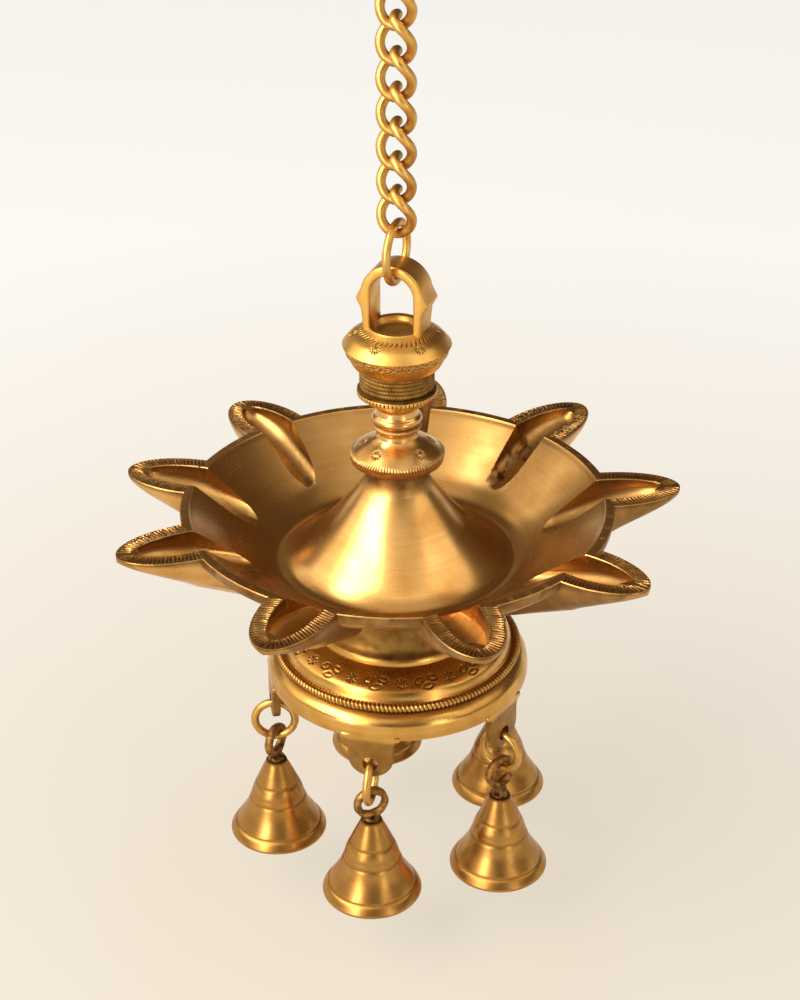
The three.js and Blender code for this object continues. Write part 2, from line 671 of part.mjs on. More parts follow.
// The cast eye: a flat ring, a lumpy neck on the crown, and a shank that ends in the clapper's hook.
function bellEyeGeometry(crownTop) {
  const ring = torus(EYE_RADIUS, EYE_BAND, WIRE_SIDES, 14);
  ring.scale(1, 1, EYE_WIDTH / EYE_BAND);
  ring.rotateY(Math.PI / 2);
  ring.translate(0, 0, eyeCentre);
  const neckTop = eyeCentre - EYE_RADIUS;
  const neckFoot = crownTop + SEAT_GAP;
  const neck = turned(
    [
      [0, neckFoot],
      [EYE_NECK_RADIUS, neckFoot],
      [EYE_NECK_RADIUS - 0.4, neckFoot + 1.6],
      [EYE_NECK_RADIUS - 1.4, neckTop],
      [0, neckTop],
    ],
    8,
  );
  const hookCentre = crownTop - clapperHookDrop;
  const shank = rod(SHANK_RADIUS, hookCentre + CLAPPER_HOOK_RADIUS - 0.4, neckFoot + 1, 8);
  const hook = torus(CLAPPER_HOOK_RADIUS, CLAPPER_HOOK_WIRE, 5, 10);
  hook.rotateY(Math.PI / 2);
  hook.translate(0, 0, hookCentre);
  return join(ring, neck, shank, hook);
}

// Heights are below the crown. The outside is a straight cone, a waist with two grooves and a flared lip.
function bellCupGeometry() {
  const at = (radiusShare, depthShare) => [BELL_RADIUS * radiusShare, -BELL_HEIGHT * depthShare];
  const waist = [at(0.88, 0.86), at(0.72, 0.71), at(0.573, 0.516), at(0.44, 0.31)];
  const mouth = -BELL_HEIGHT;
  const bore = SHANK_RADIUS + BORE_CLEARANCE;
  const inside = ([radius, height]) => [radius - BELL_WALL, height - BELL_WALL / 4];
  return turned(
    [
      [BELL_RADIUS - BELL_WALL, mouth],
      [BELL_RADIUS, mouth],
      [BELL_RADIUS, mouth + BELL_WALL],
      ...waist,
      [BELL_CROWN_RADIUS, -1],
      [BELL_CROWN_RADIUS - 1, 0],
      [bore, 0],
      [bore, -BELL_CROWN_THICKNESS],
      [BELL_CROWN_RADIUS, -BELL_CROWN_THICKNESS - 1],
      ...waist.map(inside).reverse(),
      [BELL_RADIUS - BELL_WALL, mouth],
    ],
    BELL_FACETS,
  );
}

// Heights are below the top wire of the clapper's own loop.
function clapperGeometry() {
  const loop = torus(CLAPPER_LOOP_RADIUS, CLAPPER_WIRE, 5, 10);
  loop.rotateX(Math.PI / 2);
  loop.translate(0, 0, -CLAPPER_LOOP_RADIUS);
  const ballCentre = -CLAPPER_LOOP_RADIUS - CLAPPER_DROP;
  const stem = rod(CLAPPER_WIRE / 2 + 0.3, ballCentre, -2 * CLAPPER_LOOP_RADIUS, 6);
  const ball = new THREE.SphereGeometry(CLAPPER_BALL, 8, 5);
  ball.rotateX(Math.PI / 2);
  ball.translate(0, 0, ballCentre);
  return join(loop, stem, ball);
}

// Assembly. Each moving piece has its own group at the wire that it hangs from.

const part = new THREE.Group();
const hanger = new THREE.Group();
hanger.rotation.z = radians(HANGER_YAW);
part.add(hanger);
hanger.add(named("top_hook", hookGeometry(), wireBrass));

let carrierHeight = hookLowWire;
let carrierWire = HOOK_WIRE;
const link = linkGeometry();
for (let index = 1; index <= LINK_COUNT; index++) {
  const place = new THREE.Group();
  place.position.z = carrierHeight + hangBy(carrierWire, LINK_WIRE);
  place.add(named("chain_link_" + index, link, wireBrass));
  hanger.add(place);
  carrierHeight = place.position.z - linkSpan;
  carrierWire = LINK_WIRE;
}

const ringPlace = new THREE.Group();
ringPlace.position.z = carrierHeight + hangBy(LINK_WIRE, RING_WIRE);
const suspensionRing = torus(RING_RADIUS, RING_WIRE, WIRE_SIDES + 1, 20);
suspensionRing.rotateY(Math.PI / 2);
suspensionRing.translate(0, 0, -RING_RADIUS);
ringPlace.add(named("suspension_ring", suspensionRing, wireBrass));
hanger.add(ringPlace);

// The lug is deep, so its arch clears the ring's curve on both sides.
const lugRise = curveDrop(RING_RADIUS - RING_WIRE / 2, LUG_DEPTH / 2 - LUG_BEVEL);
const ringLowWire = ringPlace.position.z - 2 * RING_RADIUS;
const lamp = new THREE.Group();
lamp.position.z = ringLowWire + RING_WIRE / 2 + SEAT_GAP + lugRise - LUG_TOP;
part.add(lamp);

lamp.add(named("finial", finialGeometry(), castBrass));
lamp.add(named("collar", collarGeometry(), polishedBrass));
lamp.add(named("bowl", bowlGeometry(), polishedBrass));
lamp.add(named("pedestal", pedestalGeometry(), polishedBrass));
lamp.add(named("tie_rod", rodGeometry(), steel));
lamp.add(named("washer", washerGeometry(), castBrass));
lamp.add(named("nut", nutGeometry(), steel));

const jumpRing = jumpRingGeometry();
const bellCup = bellCupGeometry();
const clapper = clapperGeometry();
const jumpRise = curveDrop(JUMP_RADIUS - JUMP_WIRE / 2, TAB_THICKNESS / 2);
const jumpHeight = TAB_FOOT + TAB_HOLE_EDGE + JUMP_WIRE / 2 + SEAT_GAP + jumpRise;
TAB_ANGLES.forEach((degrees, index) => {
  const tab = facing(new THREE.Group(), degrees);
  const outwards = radians(degrees);
  tab.position.set(tabRadius * Math.sin(outwards), -tabRadius * Math.cos(outwards), jumpHeight);
  const ring = named("jump_ring_" + (index + 1), jumpRing, wireBrass);
  ring.rotation.z = radians(RING_YAWS[index]);
  const bell = new THREE.Group();
  bell.rotation.z = radians(EYE_YAWS[index]);
  const crownTop = crownTops[index];
  const cup = named("bell_" + (index + 1), bellCup, bellBrass);
  cup.position.z = crownTop;
  const tongue = named("clapper_" + (index + 1), clapper, darkBronze);
  tongue.position.z = crownTop - clapperWireDrop;
  bell.add(named("bell_eye_" + (index + 1), bellEyeGeometry(crownTop), darkBronze), cup, tongue);
  tab.add(ring, bell);
  lamp.add(tab);
});

export default part;
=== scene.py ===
"""Hanging oil lamp of cast and turned brass: the visual model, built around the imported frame.

Pieces are modelled in millimetres, with heights above the rim plane of the bowl or, for a hanging
piece, above the wire that carries it. Each is moved into the row frame, in metres, when it is done.
"""

import logging
import math
from dataclasses import dataclass
from enum import Enum
from typing import Callable, Sequence

import bmesh
import bpy
import numpy as np
from mathutils import Matrix, Vector, noise


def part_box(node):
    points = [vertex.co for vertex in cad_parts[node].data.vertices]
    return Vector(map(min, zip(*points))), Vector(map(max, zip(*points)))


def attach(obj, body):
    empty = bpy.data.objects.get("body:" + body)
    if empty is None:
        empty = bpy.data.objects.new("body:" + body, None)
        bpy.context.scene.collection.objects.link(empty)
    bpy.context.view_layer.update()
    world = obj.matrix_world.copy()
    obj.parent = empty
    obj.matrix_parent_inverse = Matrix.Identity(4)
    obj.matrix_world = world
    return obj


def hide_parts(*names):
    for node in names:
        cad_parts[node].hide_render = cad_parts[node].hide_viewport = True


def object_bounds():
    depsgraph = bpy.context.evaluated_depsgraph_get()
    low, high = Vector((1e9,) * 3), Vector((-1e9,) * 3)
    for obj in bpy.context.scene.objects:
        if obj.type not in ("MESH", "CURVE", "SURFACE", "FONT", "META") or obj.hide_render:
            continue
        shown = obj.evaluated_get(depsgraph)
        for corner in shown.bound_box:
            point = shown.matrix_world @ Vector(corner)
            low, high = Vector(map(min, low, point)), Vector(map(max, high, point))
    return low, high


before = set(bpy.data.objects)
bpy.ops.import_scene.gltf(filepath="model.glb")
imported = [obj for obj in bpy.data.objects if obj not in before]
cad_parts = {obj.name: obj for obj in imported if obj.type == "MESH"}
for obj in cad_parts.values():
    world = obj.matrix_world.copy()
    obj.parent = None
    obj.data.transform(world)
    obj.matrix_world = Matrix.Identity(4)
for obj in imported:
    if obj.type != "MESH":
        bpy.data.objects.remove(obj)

CAD_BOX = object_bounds()
log = logging.getLogger("oil_lamp")

# noise_vector takes its offsets from a seed, which mathutils would otherwise set from the clock
noise.seed_set(11)

MM = 0.001
CONE_TOP = 20.4  # of the bowl's cone, above the rim plane
RIM_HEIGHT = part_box("bowl")[1].z - CONE_TOP * MM
FRONT = -90.0  # degrees about Z from +X to the lamp's front
TAB_ANGLES = (-12, 54, 121, 190.5, 279)  # of the five bells, in degrees from the front towards the right
GRIME_AND_SHADE = "grime_and_shade"  # vertex attribute of tarnish and painted shade: 0 on rubbed metal, 1 in the bottom of a cut

CAP_STEPS = 5  # from a wire's flat end to its full round

Point2 = tuple[float, float]
Coords = tuple[np.ndarray, np.ndarray, np.ndarray]
Shell = bmesh.types.BMesh
Tree = bpy.types.NodeTree
Socket = bpy.types.NodeSocket


class Surface(Enum):
    """How a brass surface was made, which sets the marks on it."""

    TURNED = "turned"
    CAST = "cast"
    DRAWN = "drawn"


# Materials

PATCH_WARMTH = 0.55  # how far a patch takes rubbed metal to its deeper colour
LINE_WARMTH = 0.35  # the same for a turning line
DIRT_AND_SHADE_ROUGHNESS = 0.28  # added where tarnish and painted shade lie
GRAIN_ROUGHNESS = 0.03  # added by the grain


def linear(hex_colour: str) -> tuple[float, float, float, float]:
    """Turn an sRGB hex colour into the linear colour that a shader takes.

    Args:
        hex_colour: Such as "#c8963c".

    Returns:
        Red, green, blue and an alpha of 1.
    """
    channels = [int(hex_colour[at : at + 2], 16) / 255 for at in (1, 3, 5)]
    red, green, blue = (c / 12.92 if c <= 0.04045 else ((c + 0.055) / 1.055) ** 2.4 for c in channels)
    return red, green, blue, 1.0


def add_node(tree: Tree, kind: str, inputs: dict | None = None, **settings) -> bpy.types.Node:
    """Add one node with its settings, input values and links.

    Args:
        tree: The node tree.
        kind: The node's type without "ShaderNode".
        inputs: Input name or index to a value, or to the socket that feeds it.
        settings: The node's own properties.

    Returns:
        The new node.
    """
    node = tree.nodes.new("ShaderNode" + kind)
    for name, value in settings.items():
        setattr(node, name, value)
    for key, value in (inputs or {}).items():
        socket = node.inputs[key]
        if isinstance(value, Socket):
            tree.links.new(value, socket)
        else:
            socket.default_value = value
    return node


def empty_material(name: str) -> bpy.types.Material:
    """A new material with no nodes in its tree."""
    material = bpy.data.materials.new(name)
    material.use_nodes = True
    material.node_tree.nodes.clear()
    return material


def maths(tree: Tree, operation: str, *values) -> Socket:
    """The result of one math node on these values or sockets."""
    return add_node(tree, "Math", dict(enumerate(values)), operation=operation).outputs[0]


def vectors(tree: Tree, operation: str, *values) -> Socket:
    """The result of one vector math node on these vectors or sockets."""
    return add_node(tree, "VectorMath", dict(enumerate(values)), operation=operation).outputs[0]


def texture(
    tree: Tree, where: Socket, scale: float, detail: float, roughness: float
) -> Socket:
    """Fractal noise over these coordinates, about 0.5."""
    inputs = {"Vector": where, "Scale": scale, "Detail": detail, "Roughness": roughness}
    return add_node(tree, "TexNoise", inputs).outputs["Fac"]


def ranged(tree: Tree, value: Socket, **limits: float) -> Socket:
    """A value mapped from one range to another, both 0 to 1 unless limits such as from_min are given."""
    inputs = {name.replace("_", " ").title(): limit for name, limit in limits.items()}
    return add_node(tree, "MapRange", {"Value": value, **inputs}).outputs[0]


def blended(tree: Tree, share: Socket, start, end) -> Socket:
    """The mix of two colours, each a colour or a socket."""
    return add_node(tree, "Mix", {0: share, 6: start, 7: end}, data_type="RGBA").outputs[2]


@dataclass(frozen=True)
class Brass:
    """One finish of the lamp's brass. Lengths are real millimetres on the metal.

    Attributes:
        name: The material's common name and how its surface was made.
        bright: Colour of rubbed metal.
        deep: Colour of the warmer, duller patches.
        tarnish_and_shade: Colour of old polish, oil and oxide in recesses, also used for painted shade.
        surface: How it was made.
        roughness: Of the rubbed metal.
        spread: How much duller the patches are.
        anisotropy: Of the turning lines.
        line_pitch: Of the turning or drawing lines.
        line_depth: Of those lines.
        grain: Size of casting grain or filing marks.
        grain_depth: Of that grain.
        cloud: Size of the patches.
        wear: How far tarnish spreads out of the recesses, 0 to 1.
    """

    name: str
    bright: str
    deep: str
    tarnish_and_shade: str
    surface: Surface
    roughness: float
    spread: float = 0.12
    anisotropy: float = 0.0
    line_pitch: float = 0.9
    line_depth: float = 0.004
    grain: float = 0.7
    grain_depth: float = 0.004
    cloud: float = 16.0
    wear: float = 0.3

    def material(self, centre: Point2 = (0.0, 0.0), tag: str = "") -> bpy.types.Material:
        """Build the finish, with its turning lines round a vertical axis.

        Args:
            centre: Where that axis stands in plan, in metres.
            tag: Ending of the name, where one finish is used round several axes.

        Returns:
            The material.
        """
        material = empty_material(self.name + tag)
        tree = material.node_tree
        coords = add_node(tree, "TexCoord").outputs["Object"]
        centred = vectors(tree, "SUBTRACT", coords, (*centre, 0.0))
        scaled = add_node(tree, "VectorMath", {0: centred, "Scale": 1 / MM}, operation="SCALE").outputs[0]
        clouds = texture(tree, scaled, 1 / self.cloud, 2.0, 0.45)
        grain = texture(tree, scaled, 1 / self.grain, 1.0, 0.4)
        lines = self.lines(tree, scaled)
        dirt_and_shade = self.dirt_and_shade(tree, scaled)
        patch = ranged(tree, clouds, from_min=0.3, from_max=0.74)
        streak = maths(tree, "MULTIPLY", lines, LINE_WARMTH)
        warmth = maths(tree, "MULTIPLY_ADD", patch, PATCH_WARMTH, streak)
        metal = blended(tree, warmth, linear(self.bright), linear(self.deep))
        # the tarnish colour laid over the metal, as dirt and as painted shade
        colour = blended(tree, dirt_and_shade, metal, linear(self.tarnish_and_shade))
        rough = ranged(tree, patch, to_min=self.roughness, to_max=self.roughness + self.spread)
        rougher = maths(tree, "MULTIPLY_ADD", dirt_and_shade, DIRT_AND_SHADE_ROUGHNESS, rough)
        fine = maths(tree, "MULTIPLY_ADD", grain, GRAIN_ROUGHNESS, rougher)
        bump = None
        for height, distance in ((lines, self.line_depth), (grain, self.grain_depth)):
            below = {"Normal": bump} if bump else {}
            inputs = {"Height": height, "Strength": 1.0, "Distance": distance * MM, **below}
            bump = add_node(tree, "Bump", inputs).outputs[0]
        inputs = {
            "Base Color": colour,
            "Metallic": 1.0,
            "Roughness": fine,
            "Normal": bump,
            "Anisotropic": self.anisotropy,
        }
        if self.anisotropy:
            inputs["Tangent"] = self.tangent(tree, centred)
        shader = add_node(tree, "BsdfPrincipled", inputs)
        add_node(tree, "OutputMaterial", {"Surface": shader.outputs[0]})
        return material

    def lines(self, tree: Tree, scaled: Socket) -> Socket:
        """Lay turning lines round the axis, or fine scratches where the piece wasn't turned."""
        parts = add_node(tree, "SeparateXYZ", {0: scaled}).outputs
        if self.surface is Surface.TURNED:
            flat = add_node(tree, "CombineXYZ", {0: parts[0], 1: parts[1]}).outputs[0]
            radius = add_node(tree, "VectorMath", {0: flat}, operation="LENGTH").outputs["Value"]
            route = add_node(tree, "CombineXYZ", {0: radius, 1: parts[2]}).outputs[0]
            stretched = add_node(tree, "VectorMath", {0: scaled, "Scale": 0.02}, operation="SCALE").outputs[0]
            route = vectors(tree, "ADD", route, stretched)
            scale = 1 / self.line_pitch
        else:
            route = vectors(tree, "MULTIPLY", scaled, (1.0, 1.0, 0.12))
            scale = 0.6 / self.line_pitch
        return texture(tree, route, scale, 2.0, 0.5)

    def dirt_and_shade(self, tree: Tree, scaled: Socket) -> Socket:
        """Spread tarnish and painted shade from the recesses, broken up by a smaller noise."""
        attribute = add_node(tree, "Attribute", attribute_name=GRIME_AND_SHADE).outputs["Fac"]
        broken = texture(tree, scaled, 0.2, 3.0, 0.5)
        uneven = ranged(tree, broken, from_min=0.3, from_max=0.7, to_min=0.8, to_max=1.1)
        recess = maths(tree, "MULTIPLY", attribute, uneven)
        stain = ranged(tree, broken, from_min=0.58, from_max=0.8, to_max=self.wear)
        return add_node(tree, "Math", {0: recess, 1: stain}, operation="ADD", use_clamp=True).outputs[0]

    def tangent(self, tree: Tree, centred: Socket) -> Socket:
        """Give the direction of the turning lines, round the vertical axis."""
        parts = add_node(tree, "SeparateXYZ", {0: centred}).outputs
        turned_y = maths(tree, "MULTIPLY", parts[1], -1.0)
        around = add_node(tree, "CombineXYZ", {0: turned_y, 1: parts[0]}).outputs[0]
        settings = {"vector_type": "VECTOR", "convert_from": "OBJECT", "convert_to": "WORLD"}
        return add_node(tree, "VectorTransform", {0: around}, **settings).outputs[0]


# Satin basin and cone: turned, then rubbed round with fine paper, so highlights run out sideways.
BASIN_BRASS = Brass(
    "brass turned and rubbed satin",
    bright="#eabb72", deep="#b97c34", tarnish_and_shade="#4a260b", surface=Surface.TURNED, roughness=0.2,
    spread=0.08, anisotropy=0.4, line_pitch=1.6, line_depth=0.002, grain_depth=0.0, wear=0.04,
)
# Small turned pieces: brighter than the basin, with crisp lines.
TURNED_BRASS = Brass(
    "brass turned and polished",
    bright="#eabb74", deep="#bb8038", tarnish_and_shade="#3f1f08", surface=Surface.TURNED, roughness=0.2,
    spread=0.14, line_pitch=0.8, line_depth=0.004, grain_depth=0.0015, cloud=9.0, wear=0.08,
)
# The foot: turned like the collar, handled more and polished less, so deeper in colour.
FOOT_BRASS = Brass(
    "brass turned and handled",
    bright="#e2b160", deep="#b27a30", tarnish_and_shade="#3f1f08", surface=Surface.TURNED, roughness=0.21,
    spread=0.12, line_pitch=0.8, line_depth=0.004, grain_depth=0.0015, cloud=12.0, wear=0.1,
)
# Cast and filed: soft pits and file marks, highlights broken up.
CAST_BRASS = Brass(
    "brass cast and filed",
    bright="#e2b25e", deep="#c48f40", tarnish_and_shade="#40210a", surface=Surface.CAST, roughness=0.3,
    spread=0.16, line_pitch=0.7, line_depth=0.006, grain=0.8, grain_depth=0.03, cloud=8.0, wear=0.12,
)
# Drawn wire of the chain and rings: smooth along the wire, dull where it was hammered round.
WIRE_BRASS = Brass(
    "brass wire drawn and bent",
    bright="#dfb060", deep="#bb893f", tarnish_and_shade="#4c2a0e", surface=Surface.DRAWN, roughness=0.3,
    spread=0.16, line_pitch=0.8, line_depth=0.004, grain=0.9, grain_depth=0.008, cloud=6.0, wear=0.2,
)
# The bells: turned satin, a touch greener and duller than the lamp.
BELL_BRASS = Brass(
    "bell brass turned satin",
    bright="#c4934c", deep="#91622c", tarnish_and_shade="#4a270c", surface=Surface.TURNED, roughness=0.27,
    spread=0.1, anisotropy=0.35, line_pitch=0.7, line_depth=0.004, grain_depth=0.0015, cloud=10.0,
    wear=0.08,
)
# Bell eyes and clappers: rough sand castings, never polished, brown all over.
DARK_BRONZE = Brass(
    "bronze sand cast and tarnished",
    bright="#bd8c4c", deep="#80552a", tarnish_and_shade="#38200e", surface=Surface.CAST, roughness=0.42,
    spread=0.2, line_pitch=1.0, line_depth=0.01, grain=0.9, grain_depth=0.03, cloud=3.0, wear=0.5,
)
# The hidden rod and nut: plain bright steel.
STEEL = Brass(
    "steel turned bright",
    bright="#b5b1aa", deep="#8f8a82", tarnish_and_shade="#3b332b", surface=Surface.TURNED, roughness=0.34,
    line_pitch=0.5, cloud=5.0,
)


# Meshes


def linked(name: str, data: bpy.types.ID) -> bpy.types.Object:
    """A new object in the scene."""
    obj = bpy.data.objects.new(name, data)
    bpy.context.scene.collection.objects.link(obj)
    return obj


def settled(name: str, bm: Shell) -> bpy.types.Mesh:
    """A new mesh from a shell, which is freed."""
    mesh = bpy.data.meshes.new(name)
    bm.to_mesh(mesh)
    bm.free()
    return mesh


def turned(profile: Sequence[Point2], segments: int, closed: bool = False) -> Shell:
    """Turn an outline round the Z axis.

    Args:
        profile: Points of radius and height. It starts and ends on the axis, or is closed.
        segments: Steps of the full turn.
        closed: Whether the outline's last point joins its first.

    Returns:
        A closed shell with its faces outwards.
    """

    def place(column: int, row: int) -> tuple[float, float, float]:
        """Profile point row after this step of the turn."""
        radius, height = profile[row % len(profile)]
        angle = 2 * math.pi * (column % segments) / segments
        return radius * math.cos(angle), radius * math.sin(angle), height

    return draped(segments, len(profile) - (0 if closed else 1), place)


def tidied(bm: Shell) -> Shell:
    """Merge doubles, drop what collapsed, cap open ends and turn the faces outwards."""
    bmesh.ops.remove_doubles(bm, verts=bm.verts, dist=1e-4)
    bmesh.ops.dissolve_degenerate(bm, edges=bm.edges, dist=1e-5)
    open_edges = [edge for edge in bm.edges if edge.is_boundary]
    if open_edges:
        bmesh.ops.holes_fill(bm, edges=open_edges, sides=0)
    bmesh.ops.recalc_face_normals(bm, faces=bm.faces)
    return bm


def draped(columns: int, rows: int, place: Callable[[int, int], Sequence[float]]) -> Shell:
    """Lay a grid over a surface, merge the edges that meet and cap the ends.

    Args:
        columns: Faces along the surface.
        rows: Faces round it.
        place: Where grid point (column, row) goes.

    Returns:
        A closed shell with its faces outwards.
    """
    bm = bmesh.new()
    bmesh.ops.create_grid(bm, x_segments=columns, y_segments=rows, size=1)
    for vert in bm.verts:
        column = round((vert.co.x + 1) / 2 * columns)
        row = round((vert.co.y + 1) / 2 * rows)
        vert.co = place(column, row)
    return tidied(bm)


def smooth_line(points: Sequence[Sequence[float]], per_span: int) -> list[tuple[float, ...]]:
    """Run a smooth curve through points.

    Args:
        points: Points with any number of coordinates.
        per_span: Steps between two of them.

    Returns:
        The curve's points, with both ends.
    """
    known = [np.array(point, float) for point in points]
    last = len(known) - 1
    line = []
    for index in range(last):
        before, start = known[max(index - 1, 0)], known[index]
        end, after = known[index + 1], known[min(index + 2, last)]
        for step in range(per_span):
            t = step / per_span
            line.append(
                0.5
                * (
                    2 * start
                    + (end - before) * t
                    + (2 * before - 5 * start + 4 * end - after) * t**2
                    + (3 * start - before - 3 * end + after) * t**3
                )
            )
    line.append(known[last])
    return [tuple(float(value) for value in point) for point in line]


def between(start: Point2, end: Point2, across: float, along: float) -> Point2:
    """A profile point at these shares of the way from one to another, outwards and upwards."""
    return start[0] + (end[0] - start[0]) * across, start[1] + (end[1] - start[1]) * along


def rounded(centre: Point2, radius: float, start: float, end: float, steps: int) -> list[Point2]:
    """Points of an arc in a profile, from start to end in degrees."""
    angles = [math.radians(start + (end - start) * step / steps) for step in range(steps + 1)]
    return [(centre[0] + radius * math.cos(a), centre[1] + radius * math.sin(a)) for a in angles]


def wire(
    path: Sequence[Vector], radius: float, sides: int, closed: bool, lump: float = 0.0
) -> Shell:
    """Sweep a round wire along a path, with rounded ends where it is open.

    Args:
        path: Points along the wire's middle.
        radius: Of the wire.
        sides: Round its section.
        closed: Whether the path's end meets its start.
        lump: Share of the radius by which the wire swells and shrinks.

    Returns:
        The closed shell of the wire.
    """
    points = [Vector(point) for point in path]
    count = len(points)
    if closed:
        tangents = [(points[(i + 1) % count] - points[i - 1]).normalized() for i in range(count)]
    else:
        tangents = [
            (points[min(i + 1, count - 1)] - points[max(i - 1, 0)]).normalized() for i in range(count)
        ]
    normals = [tangents[0].orthogonal().normalized()]
    for tangent in tangents[1:]:
        normal = normals[-1] - tangent * normals[-1].dot(tangent)
        normals.append(normal.normalized())
    twist = 0.0
    if closed:
        carried = (normals[-1] - tangents[0] * normals[-1].dot(tangents[0])).normalized()
        side = tangents[0].cross(normals[0])
        twist = math.atan2(carried.dot(side), carried.dot(normals[0]))
    rings = []
    for index in range(count):
        swell = 1 + lump * noise.noise(points[index] / (2.2 * radius))
        rings.append((points[index], tangents[index], normals[index], radius * swell, -twist * index / count))
    if closed:
        rings.append(rings[0])
    else:
        start, end = [], []
        for step in range(CAP_STEPS):
            angle = math.pi / 2 * step / CAP_STEPS
            back = radius * 0.45 * (1 - math.sin(angle))
            size = radius * (0.42 + 0.58 * math.sin(angle))
            start.append((points[0] - tangents[0] * back * 0.8, tangents[0], normals[0], size, 0.0))
            end.append((points[-1] + tangents[-1] * back * 0.8, tangents[-1], normals[-1], size, 0.0))
        rings = start + rings[1:-1] + end[::-1]

    def place(column: int, row: int) -> Vector:
        """The surface point of ring column at section corner row."""
        middle, tangent, normal, size, turn = rings[column]
        angle = 2 * math.pi * row / sides + turn
        return middle + (normal * math.cos(angle) + tangent.cross(normal) * math.sin(angle)) * size

    return draped(len(rings) - 1, sides, place)


def plate(
    outline: Sequence[Sequence[float]], drawn: Sequence[float], bevel: float, sharp: float
) -> Shell:
    """A flat outline drawn to a depth, with its sharp edges bevelled.

    Args:
        outline: Corners of the flat face.
        drawn: The way that it is drawn.
        bevel: Width of the bevel.
        sharp: Angle in degrees above which an edge gets one.

    Returns:
        The closed shell, in triangles.
    """
    bm = bmesh.new()
    face = bm.faces.new([bm.verts.new(corner) for corner in outline])
    geometry = bmesh.ops.extrude_face_region(bm, geom=[face])["geom"]
    moved = [item for item in geometry if isinstance(item, bmesh.types.BMVert)]
    bmesh.ops.translate(bm, verts=moved, vec=drawn)
    bmesh.ops.recalc_face_normals(bm, faces=bm.faces)
    bmesh.ops.bevel(
        bm,
        geom=[edge for edge in bm.edges if edge.calc_face_angle(0.0) > math.radians(sharp)],
        offset=bevel,
        offset_type="OFFSET",
        affect="EDGES",
        segments=3,
        profile=0.5,
        material=-1,
        clamp_overlap=True,
    )
    bmesh.ops.triangulate(bm, faces=bm.faces)
    return tidied(bm)


def joined(*meshes: Shell) -> Shell:
    """Put several shells into one mesh without merging them, as tools for one cut."""
    whole = bmesh.new()
    for bm in meshes:
        mesh = settled("part", bm)
        whole.from_mesh(mesh)
        bpy.data.meshes.remove(mesh)
    return whole


def combine(base: Shell, tool: Shell, operation: str) -> Shell:
    """Unite two closed shells, or take one from the other.

    Args:
        base: The blank.
        tool: What is joined to it or taken away.
        operation: UNION or DIFFERENCE.

    Returns:
        The result, as one closed shell.
    """
    objects = [linked("blank", settled("blank", bm)) for bm in (base, tool)]
    cut = objects[0].modifiers.new("cut", "BOOLEAN")
    cut.object = objects[1]
    cut.operation = operation
    cut.solver = "MANIFOLD"
    bpy.context.view_layer.update()
    shaped = objects[0].evaluated_get(bpy.context.evaluated_depsgraph_get())
    result = bmesh.new()
    result.from_mesh(shaped.to_mesh())
    shaped.to_mesh_clear()
    for obj in objects:
        mesh = obj.data
        bpy.data.objects.remove(obj)
        bpy.data.meshes.remove(mesh)
    return result


def turn_z(degrees: float) -> Matrix:
    """A turn about the lamp's axis."""
    return Matrix.Rotation(math.radians(degrees), 4, "Z")


def coordinates(bm: Shell) -> Coords:
    """Radius, angle in degrees from the front towards the right, and height of every vertex."""
    co = np.array([vert.co for vert in bm.verts])
    return np.hypot(co[:, 0], co[:, 1]), np.degrees(np.arctan2(co[:, 0], -co[:, 1])), co[:, 2]


def away_from(direction: float, angle: np.ndarray) -> np.ndarray:
    """Angles from a direction, in degrees from -180 to 180."""
    return (angle - direction + 180) % 360 - 180


def clipped(values: np.ndarray) -> np.ndarray:
    """Values held between 0 and 1."""
    return np.clip(values, 0, 1)


def highest(*layers: np.ndarray) -> np.ndarray:
    """The highest of these values at every vertex."""
    return np.maximum.reduce(layers)


def ridge(distance: np.ndarray, width: float) -> np.ndarray:
    """A soft ridge, 1 at no distance and falling off to both sides."""
    return np.exp(-((distance / width) ** 2))


def teeth(angle: np.ndarray, power: float) -> np.ndarray:
    """Teeth of height 0 to 1, one to each full turn of the angle in radians."""
    return clipped(np.cos(angle)) ** power


def grime_and_shade_layer(bm: Shell) -> bmesh.types.BMLayerItem:
    """The mesh's layer for tarnish and painted shade, made if it has none."""
    return bm.verts.layers.float.get(GRIME_AND_SHADE) or bm.verts.layers.float.new(GRIME_AND_SHADE)


def press(bm: Shell, depths: np.ndarray, dirt_and_shade: np.ndarray) -> None:
    """Press marks into a surface, let dirt settle in them, and lay painted shade where it is given.

    Args:
        bm: The mesh.
        depths: How far each vertex goes in along its normal, in millimetres.
        dirt_and_shade: Grime and painted shade at each vertex, 0 to 1.
    """
    bm.normal_update()
    layer = grime_and_shade_layer(bm)
    normals = [vert.normal.copy() for vert in bm.verts]
    for vert, normal, depth, amount in zip(bm.verts, normals, depths, dirt_and_shade):
        vert.co -= normal * float(depth)
        vert[layer] = max(vert[layer], float(amount))


def unsettle(bm: Shell, size: float, amount: float, seed: float = 0.0) -> None:
    """Move the surface a little, as hand finishing leaves it.

    Args:
        bm: The mesh.
        size: Of the swells, in millimetres.
        amount: How far they reach.
        seed: Moves the pattern, so that two like pieces differ.
    """
    offset = Vector((seed, seed * 0.7, -seed))
    for vert in bm.verts:
        vert.co += noise.noise_vector(vert.co / size + offset) * amount


